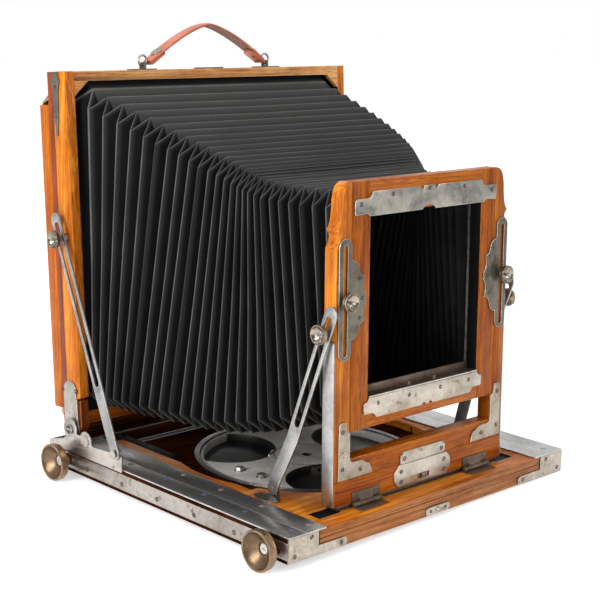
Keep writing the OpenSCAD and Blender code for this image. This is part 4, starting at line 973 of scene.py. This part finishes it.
def knob(name, node, spot, direction, finish, r, tall, rim=rim_bronze):
    """A cup with the rim's finish all over, and its own finish inside the bowl."""
    piece = turned(name, cup_profile(r, tall), rim)
    paint(piece, finish)
    for face in piece.data.polygons:
        wide = math.hypot(face.center.x, face.center.y)
        if wide < 0.88 * r * mm and face.center.z > 0.4 * tall * mm and face.normal.z > 0.2:
            face.material_index = 1
    piece.data.transform(aimed(spot, direction))
    return settle(piece, BODY_OF[node], node)


# %% Eight knobs
FRONT_SHAFT, REAR_SHAFT, SHAFT_HIGH = -150, 141, 10.7
PANEL_OUT, PANEL_HIGH, FRONT_HIGH, REAR_HIGH = 103.5, 179, 152.5, 189.8   # of the clamps
for node, y in (("front_knob", FRONT_SHAFT), ("rear_knob", REAR_SHAFT)):
    knob("cup_" + node, node, point(-185.6, y, SHAFT_HIGH), (-1, 0, 0), bronze, 18, 17.4)
forward = front_at(0, -1, 0) - front_at(0, 0, 0)
for side_name, s in SIDES:
    for name, node, spot, way in (
            ("cup_panel_", "panel_knob_", front_at(s * PANEL_OUT, -2.1, PANEL_HIGH), forward),
            ("cup_front_", "front_clamp_", front_at(s * 119.2, 7, FRONT_HIGH), (s, 0, 0)),
            ("cup_rear_", "rear_clamp_", rear_at(s * 189.5, 10, REAR_HIGH), (s, 0, 0))):
        knob(name + side_name, node + side_name, spot, way, mirror_cup, 8.6, 8.3, cup_shell)
print("eight cupped knobs")

# %% [markdown]
# ## Screws
# Slotted screws hold every plate. One head is modelled: a short cylinder is cut across by
# two planes, and the strip between them is pushed down to make the slot. Each screw is a
# copy of it with its own mesh, and the screws of one body are joined.

# %% One slotted screw head
SLOT_HALF, SLOT_DEEP = 0.15, 0.3   # in radii of the head
clean()
bpy.ops.mesh.primitive_cylinder_add(vertices=24, radius=1, depth=0.5)
head = bpy.context.object
head.data.transform(Matrix.Translation((0, 0, -0.2)))
mode("EDIT")
for x in (-SLOT_HALF, SLOT_HALF):
    select()
    bpy.ops.mesh.bisect(plane_co=(x, 0, 0), plane_no=(1, 0, 0))
select("DESELECT")
mode("OBJECT")
for face in head.data.polygons:
    face.select = face.normal.z > 0.9 and abs(face.center.x) < SLOT_HALF / 2
mode("EDIT")
bpy.ops.mesh.extrude_region_move(TRANSFORM_OT_translate={"value": (0, 0, -SLOT_DEEP)})
mode("OBJECT")
HEAD = head.data.copy()
bpy.data.objects.remove(head)
print("screw head of", len(HEAD.polygons), "faces")


def screws(name, body, finish, places):
    """Joins copies of the screw head; places are (spot, direction, radius)."""
    random.seed(len(name))
    made = []
    for spot, direction, r in places:
        mesh = HEAD.copy()
        spin = Matrix.Rotation(random.uniform(0, math.pi), 4, "Z")
        mesh.transform(aimed(spot, direction) @ spin @ Matrix.Diagonal((r * mm, r * mm, 0.9 * mm, 1)))
        made.append(add(name, mesh))
    clean()
    for one in made:
        one.select_set(True)
    bpy.context.view_layer.objects.active = made[0]
    bpy.ops.object.join()
    piece = bpy.context.object
    piece.data.materials.clear()
    paint(piece, finish)
    ease(piece, 0)
    print(name, len(places))
    settle(piece, body, slot="nickel")


# %% [markdown]
# The screws of the bed, the front and the rear are set in mirrored pairs. Each is turned
# by a chance angle, as nobody lines up slots by hand.

# %% Screws on the bed
UP, OUT, FRONT = (0, 0, 1), (1, 0, 0), (0, -1, 0)


def mirrored(at, way, r, spots):
    """The places of screws at spots (x, y, z) on the right, and of the same on the left."""
    return [(at(s * x, y, z), (s * way[0], way[1], way[2]), r) for _, s in SIDES for x, y, z in spots]


for name, finish, x in (("deck_screws", pink_screw, 151), ("outer_deck_screws", violet_screw, 170)):
    screws(name, "bed", finish,
           mirrored(point, UP, 2.5, [(x, y, 23.05) for y in (-158, -100, -46, 6, 60)]))
screws("side_screws", "bed", screw_steel,
       mirrored(point, OUT, 2.2, [(185.2, y, 8.5) for y in (-158, -103, -50, 2, 54, 108, 158)]))
screws("bracket_screws", "bed", screw_steel,
       mirrored(point, FRONT, 2.2, [(x, -170.05, z) for x, z in ((159, 18), (178, 5.6), (124, 4.6))])
       + mirrored(point, FRONT, 1.7, [(10, -170.05, 4.5)]))

# %% Screws on the front standard and its panel
screws("standard_screws", "front_standard", screw_steel,
       mirrored(front_at, forward, 2.2, [(x, -1.55, z) for x, z in (
           (104, 66), (104, 33), (82, 29.4), (25, 26.5), (29, 15), (29, 5.5))])
       + mirrored(front_at, forward, 1.6, [(x, -1.35, 6.3) for x in (63.5, 85)]))
screws("panel_screws", "rising_panel", screw_steel,
       mirrored(front_at, forward, 2.0, [(x, -1.85, z) for x, z in (
           (86, 259), (47, 265), (61, 84.5), (21, 84.5), (86.5, 197), (83.5, 180), (86.5, 163))])
       + [(front_at(0, -1.85, 267), forward, 2.0)])
screws("leaf_screws", "extension", hinge_brown,
       mirrored(point, UP, 1.6, [(x, -158.4, 22.55) for x in (63.5, 74, 85)])
       + mirrored(point, UP, 1.6, [(129, -74.7, 22.55), (133, -94.7, 22.55)]))

# %% Screws on the rear standard, its brackets and the knobs
screws("rear_screws", "rear_standard", screw_steel,
       mirrored(point, OUT, 2.3, [(183.05, 149.5, 78), (183.05, 129, 80)])
       + mirrored(point, OUT, 4.2, [(188.95, 133, 43)])
       + mirrored(rear_at, OUT, 1.6, [(182.8, 16, z) for z in (330, 302)]))
screws("carriage_screws", "carriage", nickel,
       mirrored(point, OUT, 5.0, [(188.55, 108, 37)]) + mirrored(point, OUT, 3.6, [(191.25, 59.7, 37)]))
for name, body, y in (("front_knob_screw", "front_drive", FRONT_SHAFT),
                      ("rear_knob_screw", "rear_drive", REAR_SHAFT)):
    screws(name, body, bright_edge, [(point(-194.2, y, SHAFT_HIGH), (-1, 0, 0), 4.4)])
for side_name, s in SIDES:
    for part, body, spot, way in (
            ("panel", "panel_clamp_" + side_name, front_at(s * PANEL_OUT, -6.2, PANEL_HIGH), forward),
            ("front", "front_clamp_" + side_name[0], front_at(s * 123.4, 7, FRONT_HIGH), (s, 0, 0)),
            ("rear", "rear_clamp_" + side_name[0], rear_at(s * 193.7, 10, REAR_HIGH), (s, 0, 0))):
        screws(part + "_cup_screw_" + side_name, body, bright_edge, [(spot, way, 2.3)])

# %% [markdown]
# ## The strap handle
# The handle is a thick leather strap, bent in an arch, with its ends folded round wire
# rings and riveted. A grid is laid out flat, its points are lifted onto the arch, and it
# is given thickness and rounded edges, as leather has no hard corners.

# %% Strap
SPAN, RISE, WIDTH, CURVE = 75.0, 36.0, 17.0, 1.45
MIDDLE, TOP = 15.75, 347.5   # of the rear standard's top rail


def arch(u):
    return 1 + RISE * (1 - abs(u) ** CURVE)


def leather_strip(name, where, steps, across, thickness):
    """A strip of leather; where(u, v) places its middle surface for u and v from -1 to 1."""
    clean()
    bpy.ops.mesh.primitive_grid_add(x_subdivisions=steps, y_subdivisions=across, size=2)
    strip = bpy.context.object
    strip.name = name
    for v in strip.data.vertices:
        v.co = where(v.co.x, v.co.y)
    paint(strip, leather, suede)
    pick(strip)
    modify(strip, "SOLIDIFY", thickness=thickness * mm, offset=0)
    for face in strip.data.polygons:
        face.material_index = 1 if name == "leather_strap" and face.normal.z < -0.3 else 0
    modify(strip, "BEVEL", width=0.6 * mm, segments=3, angle_limit=math.radians(50))
    bpy.ops.object.shade_smooth()
    print(name, len(strip.data.polygons), "faces")
    return settle(strip, "handle", slot="leather")


def along_strap(u, v):
    narrow = 1 - 0.18 * abs(u) ** 8
    crown = 0.6 * (1 - v * v)
    return rear_at(u * (SPAN - 1), MIDDLE + v * (WIDTH / 2 - 0.6) * narrow, TOP + arch(u) + 2.2 + crown)


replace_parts(leather_strip("leather_strap", along_strap, 64, 6, 2.4), "handle_strap")
for side_name, s in SIDES:
    def folded(u, v, s=s):
        share = 0.72 + 0.26 * (u + 1) / 2
        tip = math.sqrt(max(0.05, 1 - min(1, (0.80 - share) / 0.08) ** 2)) if share < 0.80 else 1
        drop = 2.6 + 0.8 * (1 - (u + 1) / 2)
        out = v * (WIDTH / 2 - 1.2) * tip
        return rear_at(s * share * SPAN, MIDDLE + out, TOP + arch(share) + 2.0 - drop)
    leather_strip("folded_end_" + side_name, folded, 16, 6, 2.0)

# %% [markdown]
# Each end is held by a dished rivet outside and a small cap inside. Both are turned, and
# stand square to the slope of the arch where they sit.

# %% Rivets
RIVET = 0.84   # its place along half the strap
dome = [(0.0, 1.3), (1.2, 1.15), (1.8, 0.6), (2.8, 0.55), (4.2, 1.1), (5.3, 0.75), (5.9, 0.1), (5.9, -0.4),
        (0.0, -0.4)]
cap = [(0.0, 0.7), (1.4, 0.6), (2.3, 0.2), (2.5, 0.0), (2.5, -0.3), (0.0, -0.3)]
for side_name, s in SIDES:
    slope = CURVE * RISE / SPAN * RIVET ** (CURVE - 1)
    out = rear_at(s * slope, 0, 1) - rear_at(0, 0, 0)
    for name, profile, way, lift in (("dome_rivet_", dome, 1, 4.3), ("cap_rivet_", cap, -1, -2.2)):
        stud = turned(name + side_name, profile, mottled, 24)
        stud.data.transform(aimed(rear_at(s * RIVET * SPAN, MIDDLE, TOP + arch(RIVET) + lift), way * out))
        settle(stud, "handle", slot="brass")
print("four rivets")
